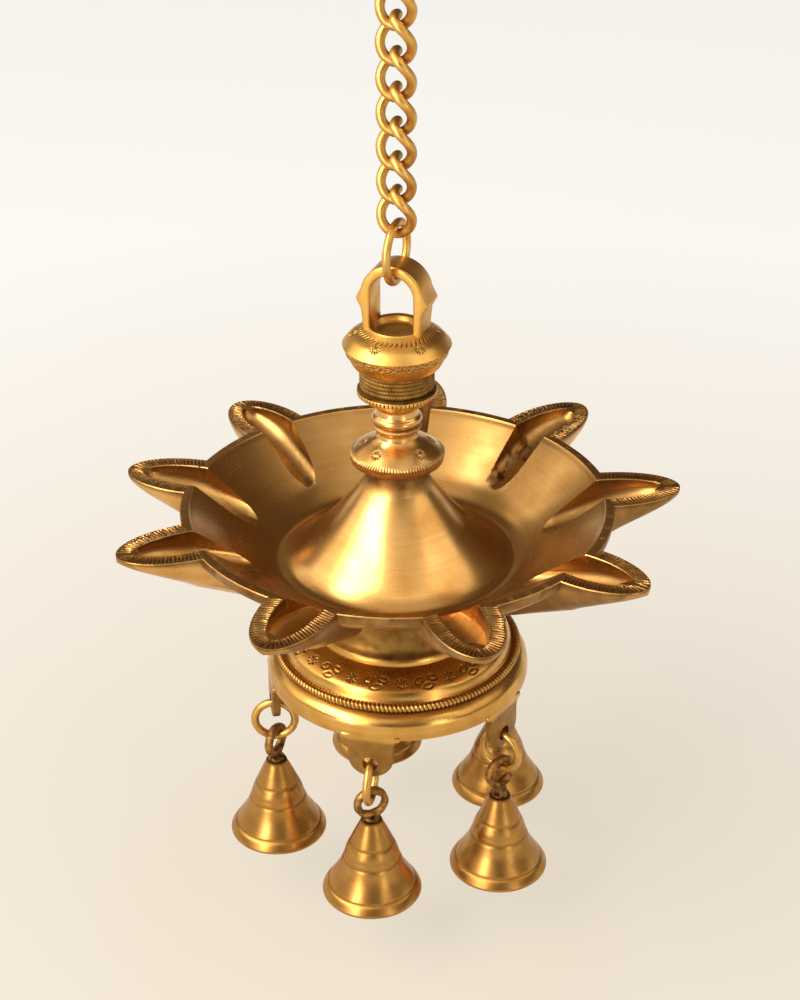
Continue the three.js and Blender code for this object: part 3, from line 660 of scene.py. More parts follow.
@dataclass(frozen=True)
class Piece:
    """A finished piece of the lamp and what it stands for.

    Attributes:
        name: The object's name.
        body: The CAD body that it rides on.
        slot: Name of a material slot, which is not used.
        nodes: The CAD nodes that it replaces.
        crease: Angle in degrees above which an edge stays sharp.
    """

    name: str
    body: str
    slot: str
    nodes: tuple[str, ...]
    crease: float = 42.0

    def set_down(
        self, bm: Shell, material: bpy.types.Material, place: Matrix | None = None
    ) -> bpy.types.Object:
        """Move the mesh into the row frame and give it its body and finish.

        Args:
            bm: The mesh in millimetres. It is freed.
            material: Its finish.
            place: From the mesh's own frame to the rim's frame, in millimetres.

        Returns:
            The object.
        """
        to_row = Matrix.Translation((0, 0, RIM_HEIGHT)) @ Matrix.Scale(MM, 4)
        bm.transform(to_row @ (place or Matrix.Identity(4)))
        grime_and_shade_layer(bm)
        for face in bm.faces:
            face.smooth = True
        for edge in bm.edges:
            edge.smooth = edge.calc_face_angle(0.0) < math.radians(self.crease)
        mesh = settled(self.name, bm)
        mesh.materials.append(material)
        obj = linked(self.name, mesh)
        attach(obj, self.body)
        if self.nodes:
            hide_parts(*self.nodes)
        mesh.calc_loop_triangles()
        log.info("%s: %d triangles", self.name, len(mesh.loop_triangles))
        return obj


def stand_in(node: str, making: str, body: str = "lamp", slot: str = "polished_brass") -> Piece:
    """The piece that replaces one CAD node, named for the node and for its making."""
    return Piece(f"{node}_{making}", body, slot, (node,))


def on_slope(spot: tuple[float, float, float], coords: Coords) -> tuple[np.ndarray, np.ndarray]:
    """Distances from a spot on a turned surface.

    Args:
        spot: Its radius, angle and height.
        coords: Radius, angle and height of every vertex.

    Returns:
        Distance round the surface and up its slope, at every vertex.
    """
    radius, angle, height = coords
    across = np.radians(away_from(spot[1], angle)) * spot[0]
    return across, np.hypot(radius - spot[0], height - spot[2]) * np.where(height > spot[2], 1, -1)


def floret(spot: tuple[float, float, float], coords: Coords, size: float, rays: int) -> np.ndarray:
    """Depth of one punched floret: short rays round a plain centre.

    Args:
        spot: Radius, angle and height of its centre.
        coords: Radius, angle and height of every vertex.
        size: Radius of the floret.
        rays: How many.

    Returns:
        Depth at every vertex, 0 to 1.
    """
    across, up = on_slope(spot, coords)
    out = np.hypot(across, up)
    spoke = clipped(0.15 + np.cos(np.arctan2(up, across) * rays))
    return clipped((out / size - 0.3) / 0.15) * clipped((1.05 - out / size) / 0.15) * spoke


# Sub-assemblies


@dataclass
class Bowl:
    """The round bowl with its cone and nine spouts, in one casting. Sizes are in millimetres."""

    rim_radius: float = 95.0
    rim_width: float = 3.8
    rim_band: float = 4.6
    depth: float = 28.2
    valley_radius: float = 51.5
    wall: float = 5.0
    cone_top_radius: float = 12.4
    seat_radius: float = 38.0
    seat_depth: float = 37.0
    bore: float = 3.3
    first: float = 15.2
    tip: float = 127.7
    turns: tuple[float, ...] = (0.2, -1, 1, 1.6, 0, 3, 0.4, -3.6, 0.6)
    reaches: tuple[float, ...] = (0, -2, -1.4, 1.6, 0, -4, -2.6, -1.2, 0)
    root_half_width: float = 15.8
    keel_at_rim: float = 19.5
    nose_depth: float = 3.0
    keel_ease: float = 0.88
    keel_slope: float = 0.48
    border: float = 7.2
    channel_start: float = 60.0
    channel_widths: tuple[float, ...] = (0.55, 0.85, 1.0, 0.86, 0.5, 0.12)
    channel_depths: tuple[float, ...] = (21.5, 17.05, 12.6, 9.05, 5.5, 1.0)
    arris: float = 0.4
    cut_pitch: float = 1.62
    cut_size: tuple[float, float, float] = (3.35, 0.68, 0.7)
    cut_slant: float = 14.0
    cut_inset: float = 3.5
    punch_shares: tuple[float, ...] = (0.36, 0.5, 0.64)
    punch_size: tuple[float, float, float] = (0.3, 0.3, 0.35)
    punch_reach: float = 1.05
    stained_spout: int = 3
    stain_start: float = 66.0
    stain_end: float = 99.0
    # tarnish from 0 to 1, with painted shade in the last two: "added" lies on top of the one before it
    rim_dirt: float = 0.32
    added_in_cuts: float = 0.5
    punch_dirt: float = 0.55
    channel_dirt: float = 0.15
    added_on_floor: float = 0.36
    underside_painted_shade: float = 0.6
    collar_painted_shade: float = 0.8

    def angles(self) -> list[float]:
        """Direction of each spout, in degrees from the front towards the right."""
        return [self.first + 40 * index + turn for index, turn in enumerate(self.turns)]

    def cavity(self) -> list[Point2]:
        """The inside of the bowl, from the cone's top over the valley to the rim."""
        cone = (self.cone_top_radius, CONE_TOP)
        valley = (self.valley_radius, -self.depth)
        brim = (self.rim_radius - self.rim_width, 0.0)
        return smooth_line(
            [
                cone,
                between(cone, valley, 0.046, 0.169),
                between(cone, valley, 0.343, 0.496),
                between(cone, valley, 0.609, 0.735),
                between(cone, valley, 0.83, 0.905),
                (self.valley_radius + 0.8, 1.5 - self.depth),
                between(valley, brim, 0.235, 0.19),
                between(valley, brim, 0.504, 0.461),
                brim,
            ],
            10,
        )

    def blank(self, segments: int) -> Shell:
        """The bowl's outside and the hollow under its cone, before the cavity is cut."""
        top = (self.cone_top_radius - 4.4, CONE_TOP - 5)
        foot = (self.seat_radius - self.wall, -self.seat_depth)
        valley = (self.valley_radius, -self.depth - self.wall)
        band = (self.rim_radius - 0.6, -self.rim_band)
        uncut = (self.rim_radius + self.valley_radius) / 2
        shoulder, waist = between(top, foot, 0.256, 0.313), between(top, foot, 0.76, 0.679)
        hollow = smooth_line([top, shoulder, waist, foot], 8)
        outside = smooth_line(
            [
                (self.seat_radius, -self.seat_depth),
                valley,
                between(valley, band, 0.326, 0.367),
                between(valley, band, 0.804, 0.755),
                band,
            ],
            8,
        )
        return turned(
            [
                (self.bore, CONE_TOP), (self.bore, CONE_TOP - 5),
                *hollow,
                *outside,
                (self.rim_radius, -self.arris), (self.rim_radius - self.arris, 0.0), (uncut, 0.0),
                (uncut, CONE_TOP),
            ],
            segments,
            closed=True,
        )

    def half_width(self, share: float) -> float:
        """Half the spout's width at this share of its length past the rim."""
        return self.root_half_width * math.sqrt(max(0.0, 1 - share * share))

    def hull(self, tip: float) -> Shell:
        """One spout's outside: a boat whose keel rises to the nose, decked at the rim plane."""
        stations = []
        start = self.channel_start - 0.5
        for step in range(9):
            radius = start + (self.rim_radius - self.channel_start + 0.5) * step / 9
            keel = self.keel_at_rim + (self.rim_radius - radius) * self.keel_slope
            stations.append((radius, self.root_half_width, keel))
        for step in range(37):
            share = math.sin(math.pi / 2 * step / 36)
            keel = self.keel_at_rim + (self.nose_depth - self.keel_at_rim) * share**self.keel_ease
            stations.append((self.rim_radius + (tip - self.rim_radius) * share, self.half_width(share), keel))
        keel_rows = 26

        def place(column: int, row: int) -> tuple[float, float, float]:
            """Round one station: keel rows from side to side, then back across the deck."""
            radius, half, depth = stations[column]
            if row > keel_rows:
                share = (row - keel_rows) / 4
                return radius, max(0.0, half - self.arris) * (1 - 2 * share), 0.0
            if row in (0, keel_rows):
                side = -1 if row == 0 else 1
                return radius, side * max(0.0, half - self.arris), 0.0
            low = math.asin(min(1.0, (self.arris / depth) ** 1.25))
            angle = low + (math.pi - 2 * low) * (row - 1) / (keel_rows - 2)
            return radius, -half * math.cos(angle), -depth * math.sin(angle) ** 0.8

        return draped(len(stations) - 1, keel_rows + 4, place)

    def channel(self, tip: float) -> Shell:
        """The cutter of one spout's channel, which runs out as a tongue in the bowl's wall."""
        end = tip - self.border
        full = self.root_half_width - self.border
        past = end - self.rim_radius
        reaches = (
            self.channel_start,
            (self.channel_start + self.rim_radius) / 2,
            self.rim_radius,
            self.rim_radius + past * 0.5,
            self.rim_radius + past * 0.85,
            end,
        )
        widths = [full * width for width in self.channel_widths]
        stations = smooth_line(list(zip(reaches, widths, self.channel_depths)), 10)
        above = 1.5
        rows = 24

        def place(column: int, row: int) -> tuple[float, float, float]:
            """Round one station: under the floor from side to side, then back above the rim."""
            radius, half, depth = stations[column]
            side = -1 if row < rows / 2 else 1
            if row in (0, rows):
                return radius, side * (half + above + self.arris), above
            if row in (1, rows - 1):
                return radius, side * half, -self.arris
            angle = math.pi * (row - 2) / (rows - 4)
            bottom = min(0.8 * half, 0.9 * (depth - self.arris))
            return radius, -half * math.cos(angle), bottom * (1 - math.sin(angle)) - depth

        return draped(len(stations) - 1, rows, place)

    def outline(self, tip: float, side: int, inset: float) -> list[tuple[float, float, float]]:
        """Points along one side of a spout's rim, evenly spaced.

        Args:
            tip: Radius of the nose.
            side: 1 or -1.
            inset: How far inside the outer edge.

        Returns:
            Radius, offset and direction of the edge in radians at each cut.
        """
        start = self.rim_radius - 1
        edge = []
        for step in range(400):
            share = math.sin(math.pi / 2 * step / 399)
            edge.append(Vector((start + (tip - self.rim_radius + 1) * share, self.half_width(share) * side)))
        marks = []
        last = None
        for here, after in zip(edge, edge[1:]):
            way = after - here
            if way.length < 1e-9:
                continue
            centre = here + Vector((way.y, -way.x)).normalized() * side * inset
            clear = last is None or (centre - last).length >= self.cut_pitch
            if clear and centre.y * side > 0.3:
                marks.append((centre.x, centre.y, math.atan2(way.y, way.x)))
                last = centre
        return marks

    def chisel_cuts(self) -> tuple[Shell, Shell]:
        """Cutters of the slanted chisel cuts round every spout's rim, in two sets that don't touch."""
        sets = ([], [])
        long, wide, deep = self.cut_size
        for spout, degrees in enumerate(self.angles()):
            for side in (1, -1):
                marks = self.outline(self.tip + self.reaches[spout], side, self.cut_inset)
                groups = (bmesh.new(), bmesh.new())
                for index, (along, offset, heading) in enumerate(marks):
                    hand = noise.noise(Vector((along * 3.1, offset * 2.3 + spout, side)))
                    slant = heading + math.pi / 2 - side * math.radians(self.cut_slant) + hand * 0.25
                    matrix = (
                        turn_z(degrees + FRONT)
                        @ Matrix.Translation((along, offset, 0.0))
                        @ Matrix.Rotation(slant, 4, "Z")
                        @ Matrix.Diagonal((long + hand * 0.35, wide, deep + hand * 0.12, 1))
                    )
                    ball = {"u_segments": 8, "v_segments": 6, "radius": 1, "matrix": matrix}
                    bmesh.ops.create_uvsphere(groups[index % 2], **ball)
                for group, kept in zip(groups, sets):
                    kept.append(group)
        return joined(*sets[0]), joined(*sets[1])

    def rim_punches(self) -> Shell:
        """Cutters of the small ring florets on the rim between the spouts, three to a side."""
        groups = []
        radius = self.rim_radius - self.rim_width / 2
        for spout, degrees in enumerate(self.angles()):
            following = self.angles()[(spout + 1) % 9] + (360 if spout == 8 else 0)
            punches = bmesh.new()
            for share in self.punch_shares:
                turn = math.radians(degrees + (following - degrees) * share + FRONT)
                centre = Vector((radius * math.cos(turn), radius * math.sin(turn), 0.0))
                for dot in range(9):
                    angle = math.radians(45 * dot)
                    reach = 0.0 if dot == 8 else self.punch_reach
                    spot = centre + Vector((math.cos(angle), math.sin(angle), 0)) * reach
                    matrix = Matrix.Translation(spot) @ Matrix.Diagonal((*self.punch_size, 1))
                    ball = {"u_segments": 6, "v_segments": 4, "radius": 1, "matrix": matrix}
                    bmesh.ops.create_uvsphere(punches, **ball)
            groups.append(punches)
        return joined(*groups)

    def grime_and_shade(self, bm: Shell) -> None:
        """Settle tarnish in the cuts, oil in the channels and soot where wicks burn, and lay painted shade on
        the downward-facing outside and under the collar.
        """
        layer = grime_and_shade_layer(bm)
        radius, angle, height = coordinates(bm)
        bm.verts.ensure_lookup_table()
        bm.normal_update()
        nearest = np.full(len(radius), 999.0)
        for degrees in self.angles():
            off = away_from(degrees, angle)
            nearest = np.where(np.abs(off) < np.abs(nearest), off, nearest)
        along = radius * np.cos(np.radians(nearest))
        beside = np.abs(radius * np.sin(np.radians(nearest)))

        # chisel cuts on the spouts' rims, and the punched rim between them
        on_spout = (along > self.rim_radius - 4) & (height > -0.9)
        on_rim = (radius > self.rim_radius - self.rim_width - 0.2) & (height > -0.5) & ~on_spout
        in_cut = clipped((-height - 0.1) / 0.3)
        cuts = np.maximum((self.rim_dirt + self.added_in_cuts * in_cut) * on_spout, self.punch_dirt * on_rim)

        # channels, wettest near their floors, which are taken as straight
        started = along - self.channel_start
        lane = (self.root_half_width - self.border) * np.clip(0.55 + 0.45 * started / 35, 0.5, 1) + 0.2
        inside = (beside < lane) & (height < -0.9) & (started > -1)
        low, high = self.channel_depths[0], 9.0
        floor = -low + started * (low - high) / (self.rim_radius + 16 - self.channel_start)
        deep = clipped(1 - np.abs(height - floor) / 9.0)
        wet = np.where(inside & (started > 10), self.channel_dirt + self.added_on_floor * deep, 0.0)

        # soot and old oil in one spout
        soot = np.zeros(len(radius))
        off = away_from(self.angles()[self.stained_spout], angle)
        stained = inside & (np.abs(off) < 12) & (along > self.stain_start) & (along < self.stain_end)
        for index in np.nonzero(stained)[0]:
            spot = bm.verts[index].co
            patch = noise.noise(spot / 4.0) + 0.5 * noise.noise(spot / 1.3)
            soot[index] = min(1.0, max(0.0, 0.35 + 1.6 * patch + 0.05 * off[index]))

        # painted shade on the outside where it faces downwards, and in the ring under the collar
        downwards = np.array([vert.normal.z for vert in bm.verts]) < 0.02
        handled = np.where(downwards & (height < -1.0) & ~inside, self.underside_painted_shade, 0.0)
        shade_under_collar = clipped((16.4 - radius) / 3) * (height > 2) * self.collar_painted_shade
        for vert, *amounts in zip(bm.verts, cuts, wet, shade_under_collar, soot, handled):
            vert[layer] = float(max(amounts))

    def build(self) -> None:
        """Cut and dress the bowl."""
        segments = 288
        bm = self.blank(segments)
        hulls = [self.hull(self.tip + reach) for reach in self.reaches]
        channels = [self.channel(self.tip + reach) for reach in self.reaches]
        for degrees, hull, channel in zip(self.angles(), hulls, channels):
            hull.transform(turn_z(degrees + FRONT))
            channel.transform(turn_z(degrees + FRONT))
        bm = combine(bm, joined(*hulls), "UNION")
        profile = self.cavity()
        brim = self.rim_radius - self.rim_width
        above = CONE_TOP + 5
        cavity = turned(
            [
                *profile[:-1],
                (brim - 0.3, -self.arris), (brim + self.arris, self.arris), (brim + self.arris, above),
                (self.cone_top_radius, above),
            ],
            segments,
            closed=True,
        )
        for tool in (cavity, joined(*channels), *self.chisel_cuts(), self.rim_punches()):
            bm = combine(bm, tool, "DIFFERENCE")
        self.grime_and_shade(bm)
        unsettle(bm, 30.0, 0.12, 3.0)
        casting = Piece("bowl_casting", "lamp", "polished_brass", ("bowl",), crease=38)
        casting.set_down(bm, BASIN_BRASS.material())


@dataclass
class Collar:
    """The turned collar on the cone: bead, neck and umbrella. Sizes are in millimetres."""

    bore: float = 3.3
    seat_gap: float = 0.3
    top: float = 50.2
    bead_radius: float = 10.9
    bead_height: float = 40.4
    bead_half: float = 3.6
    neck_radius: float = 9.2
    neck_foot: float = 33.0
    umbrella_radius: float = 20.6
    umbrella_edge: float = 25.0
    umbrella_lip: float = 21.2
    seat_radius: float = 17.2
    florets: tuple[float, ...] = (-90, -37, 41, 100, 158, 214)
    floret_radius: float = 14.9
    floret_height: float = 29.2
    floret_size: float = 2.2
    floret_rays: int = 10
    floret_depth: float = 0.45
    edge_teeth: int = 96
    edge_depth: float = 0.5
    bead_teeth: int = 72
    bead_depth: float = 0.28

    def build(self) -> None:
        """Turn, punch and dress the collar."""
        edge = (self.umbrella_radius, self.umbrella_edge)
        neck = (self.neck_radius, self.neck_foot)
        slope, fillet = between(edge, neck, 0.456, 0.475), between(edge, neck, 0.825, 0.8)
        umbrella = smooth_line([edge, slope, fillet, neck], 14)
        low = self.bead_height - self.bead_half
        throat = [(self.neck_radius - 0.5, low - 1.4), (self.neck_radius + 0.4, low + 0.2)]
        bead = [
            *smooth_line([neck, *throat], 4)[1:],
            *rounded((self.neck_radius + 0.5, low + 0.9), 0.8, -80, 80, 6),
            (self.neck_radius + 0.3, low + 2.0),
            *rounded((self.bead_radius - 2.1, self.bead_height + 0.9), 2.1, -62, 62, 8),
            *smooth_line(
                [
                    (self.neck_radius, self.bead_height + self.bead_half - 0.2),
                    (self.neck_radius - 0.5, self.top - 3.2), (self.neck_radius + 1.2, self.top),
                ],
                5,
            ),
        ]
        bm = turned(
            [
                (self.bore, CONE_TOP + self.seat_gap), (self.seat_radius, CONE_TOP + self.seat_gap),
                (self.umbrella_radius - 1.3, self.umbrella_lip),
                (self.umbrella_radius - 0.5, self.umbrella_lip + 0.5),
                (self.umbrella_radius - 0.1, self.umbrella_edge - 1.6),
                (self.umbrella_radius, self.umbrella_edge - 0.8),
                *umbrella,
                *bead,
                (self.bore, self.top),
            ],
            512,
            closed=True,
        )
        coords = coordinates(bm)
        radius, angle, height = coords
        turn = np.radians(angle)
        out = radius > self.neck_radius
        rim = ridge(height - self.umbrella_edge + 0.2, 1.0) * (radius > 17.5)
        ring = ridge(height - low - 0.9, 0.7) * (radius > self.neck_radius + 0.4)
        spots = [(self.floret_radius, direction, self.floret_height) for direction in self.florets]
        size, rays = self.floret_size, self.floret_rays
        depth = highest(
            *[self.floret_depth * floret(spot, coords, size, rays) for spot in spots],
            self.edge_depth * teeth(turn * self.edge_teeth, 2) * rim,
            self.bead_depth * ring * teeth(turn * self.bead_teeth, 3),
        )
        groove = clipped(1 - np.abs(height - low - 2.0) / 0.9) * 0.8
        # painted shade under the umbrella's edge, mixed in with the dirt in the marks
        under = clipped((self.umbrella_edge - 1.4 - height) / 1.2)
        dirt_and_shade = highest(clipped(depth / 0.2), groove * (radius < 10.2), under * 0.6)
        press(bm, depth * out, dirt_and_shade * out)
        unsettle(bm, 9.0, 0.06, 5.0)
        stand_in("collar", "turned").set_down(bm, TURNED_BRASS.material())


@dataclass
class Finial:
    """The cup-shaped finial with the arched lug cast on it. Sizes are in millimetres."""

    bore: float = 3.3
    bore_top: float = 68.3
    foot: float = 50.5
    flange_radius: float = 17.2
    flange_top: float = 55.4
    flange_foot: float = 53.5
    base_radius: float = 16.6
    base_foot: float = 56.6
    cup_foot: float = 66.0
    radius: float = 23.1
    band_foot: float = 72.4
    widest: float = 76.2
    crown_radius: float = 12.5
    top: float = 84.5
    dish_radius: float = 9.0
    dish_depth: float = 2.5
    florets: int = 6
    floret_radius: float = 18.7
    floret_height: float = 80.8
    floret_size: float = 2.3
    first_floret: float = -29.0
    floret_rays: int = 10
    floret_depth: float = 0.42
    cut_radius: float = 15.5
    cuts: int = 46
    cut_depth: float = 0.5
    stipple_radius: float = 22.0
    stipple_size: float = 0.95
    stipple_depth: float = 0.9
    knurls: int = 72
    knurl_depth: float = 0.2
    # the knurled band under the cup is painted darker all over, and the shelf under the base gets painted
    # shade
    knurl_darkening: float = 0.7
    flange_teeth: int = 60
    flange_depth: float = 0.4
    shelf_painted_shade: float = 0.85
    threads: int = 5
    yaw: float = -20.0
    lug_top: float = 108.8
    lug_opening: float = 9.5
    lug_band: float = 4.3
    lug_depth: float = 14.0
    lug_bevel: float = 0.9
    lug_cusp: float = 2.1
    lug_taper: float = 1.4
    lug_cusp_rise: float = 4.5
    lug_cusp_drop: float = 2.0
    lug_foot: float = 80.5

    def body(self) -> Shell:
        """Turn the dome, cup and base, and punch them."""
        widest = (self.radius, self.widest)
        crown = (self.crown_radius, self.top - 0.5)
        slope, brow = between(widest, crown, 0.337, 0.506), between(widest, crown, 0.782, 0.819)
        dome = smooth_line([widest, slope, brow, crown], 14)
        threads = []
        pitch = (self.cup_foot - self.base_foot - 0.4) / self.threads
        for row in range(self.threads):
            centre = self.base_foot + 0.2 + pitch * (row + 0.5)
            threads += rounded((self.base_radius - 1.9, centre), 1.35, -38, 38, 7)
        cup = smooth_line(
            [
                (self.base_radius - 0.6, self.cup_foot), (self.base_radius + 1.6, self.cup_foot + 0.8),
                (self.radius - 3.2, self.cup_foot + 3.2), (self.radius - 2.3, self.band_foot - 0.4),
            ],
            6,
        )
        band = smooth_line(
            [
                (self.radius - 1.3, self.band_foot), (self.radius - 0.8, self.widest - 1.8),
                (self.radius - 0.5, self.widest - 0.5),
            ],
            10,
        )
        bm = turned(
            [
                (0.0, self.bore_top), (self.bore, self.bore_top), (self.bore, self.foot),
                (self.flange_radius - 3.6, self.foot),
                *smooth_line(
                    [
                        (self.flange_radius - 2.4, self.foot + 1.4),
                        (self.flange_radius - 0.2, self.flange_foot),
                        (self.flange_radius, self.flange_foot + 0.9),
                        (self.flange_radius - 0.3, self.flange_top),
                        (self.base_radius - 1.6, self.base_foot - 0.4),
                    ],
                    5,
                ),
                *threads,
                *cup,
                *band,
                *dome,
                (self.crown_radius - 0.5, self.top), (self.dish_radius + 0.6, self.top - 0.1),
                *smooth_line(
                    [
                        (self.dish_radius, self.top - 0.8),
                        (self.dish_radius - 2, self.top - self.dish_depth),
                        (0.0, self.top - self.dish_depth),
                    ],
                    5,
                ),
            ],
            560,
        )
        press(bm, *self.marks(coordinates(bm)))
        return bm

    def marks(self, coords: Coords) -> tuple[np.ndarray, np.ndarray]:
        """Depth of the florets, the slanted cuts, the stipple and the knurling, the dirt in them, the knurled
        band's darkening and the painted shade on the shelf.
        """
        radius, angle, height = coords
        turn = np.radians(angle)
        florets = [self.first_floret + 360 / self.florets * index for index in range(self.florets)]
        spots = [(self.floret_radius, direction, self.floret_height) for direction in florets]
        size, rays = self.floret_size, self.floret_rays
        crown = ridge(radius - self.cut_radius, 0.95) * (height > self.widest)
        in_band = (height > self.band_foot) & (height < self.widest - 0.3) & (radius > 20)
        stipple = np.zeros(len(radius))
        for index in np.nonzero(in_band)[0]:
            round_x = math.cos(turn[index]) * self.stipple_radius
            round_y = math.sin(turn[index]) * self.stipple_radius
            spot = Vector((round_x, round_y, height[index])) / self.stipple_size
            stipple[index] = max(0.0, 0.55 - noise.voronoi(spot)[0][0]) * self.stipple_depth
        knurl = (height > self.base_foot) & (height < self.cup_foot) & (radius > self.base_radius - 1.2)
        flange = ridge(height - self.flange_foot - 0.7, 0.9) * (radius > self.flange_radius - 1.2)
        shelf = (height > self.flange_top) & (height < self.base_foot + 0.4) & (radius > 8)
        depth = highest(
            *[self.floret_depth * floret(spot, coords, size, rays) for spot in spots],
            self.cut_depth * crown * teeth(turn * self.cuts + (radius - self.cut_radius) * 1.5, 3),
            stipple,
            self.knurl_depth * knurl * teeth(turn * self.knurls + height * 1.4, 2),
            self.flange_depth * flange * teeth(turn * self.flange_teeth, 3),
        )
        # dirt in the marks and stipple, the knurled band darkened all over, and painted shade on the shelf
        dirt_and_shade = highest(
            clipped(depth / 0.24) * ~in_band * ~knurl,
            knurl * self.knurl_darkening,
            shelf * self.shelf_painted_shade,
            in_band * np.clip(stipple / 0.35, 0, 0.75),
        )
        return depth, dirt_and_shade

    def lug(self) -> Shell:
        """The arch: its outline filled, drawn to its depth and bevelled."""
        centre = self.lug_top - self.lug_opening
        outer = self.lug_opening + self.lug_band
        cusp = centre - self.lug_cusp_drop
        springing = math.degrees(math.asin((self.lug_cusp_rise - self.lug_cusp_drop) / outer))
        outline = [
            (outer - self.lug_taper, self.lug_foot), (outer - 0.3, cusp - self.lug_cusp_rise),
            (outer + self.lug_cusp, cusp),
        ]
        outline += rounded((0, centre), outer, springing, 180 - springing, 28)
        outline += [(-x, z) for x, z in reversed(outline[:3])]
        outline += [(-self.lug_opening, self.lug_foot)]
        outline += rounded((0, centre), self.lug_opening, 180, 0, 28)
        outline += [(self.lug_opening, self.lug_foot)]
        face = [(x, -self.lug_depth / 2, z) for x, z in outline]
        return plate(face, (0, self.lug_depth, 0), self.lug_bevel, sharp=40)

    def build(self) -> None:
        """Join the lug to the dome and dress the casting."""
        lug = self.lug()
        lug.transform(turn_z(self.yaw))
        bm = combine(self.body(), lug, "UNION")
        unsettle(bm, 8.0, 0.14, 7.0)
        stand_in("finial", "casting", slot="cast_brass").set_down(bm, CAST_BRASS.material())


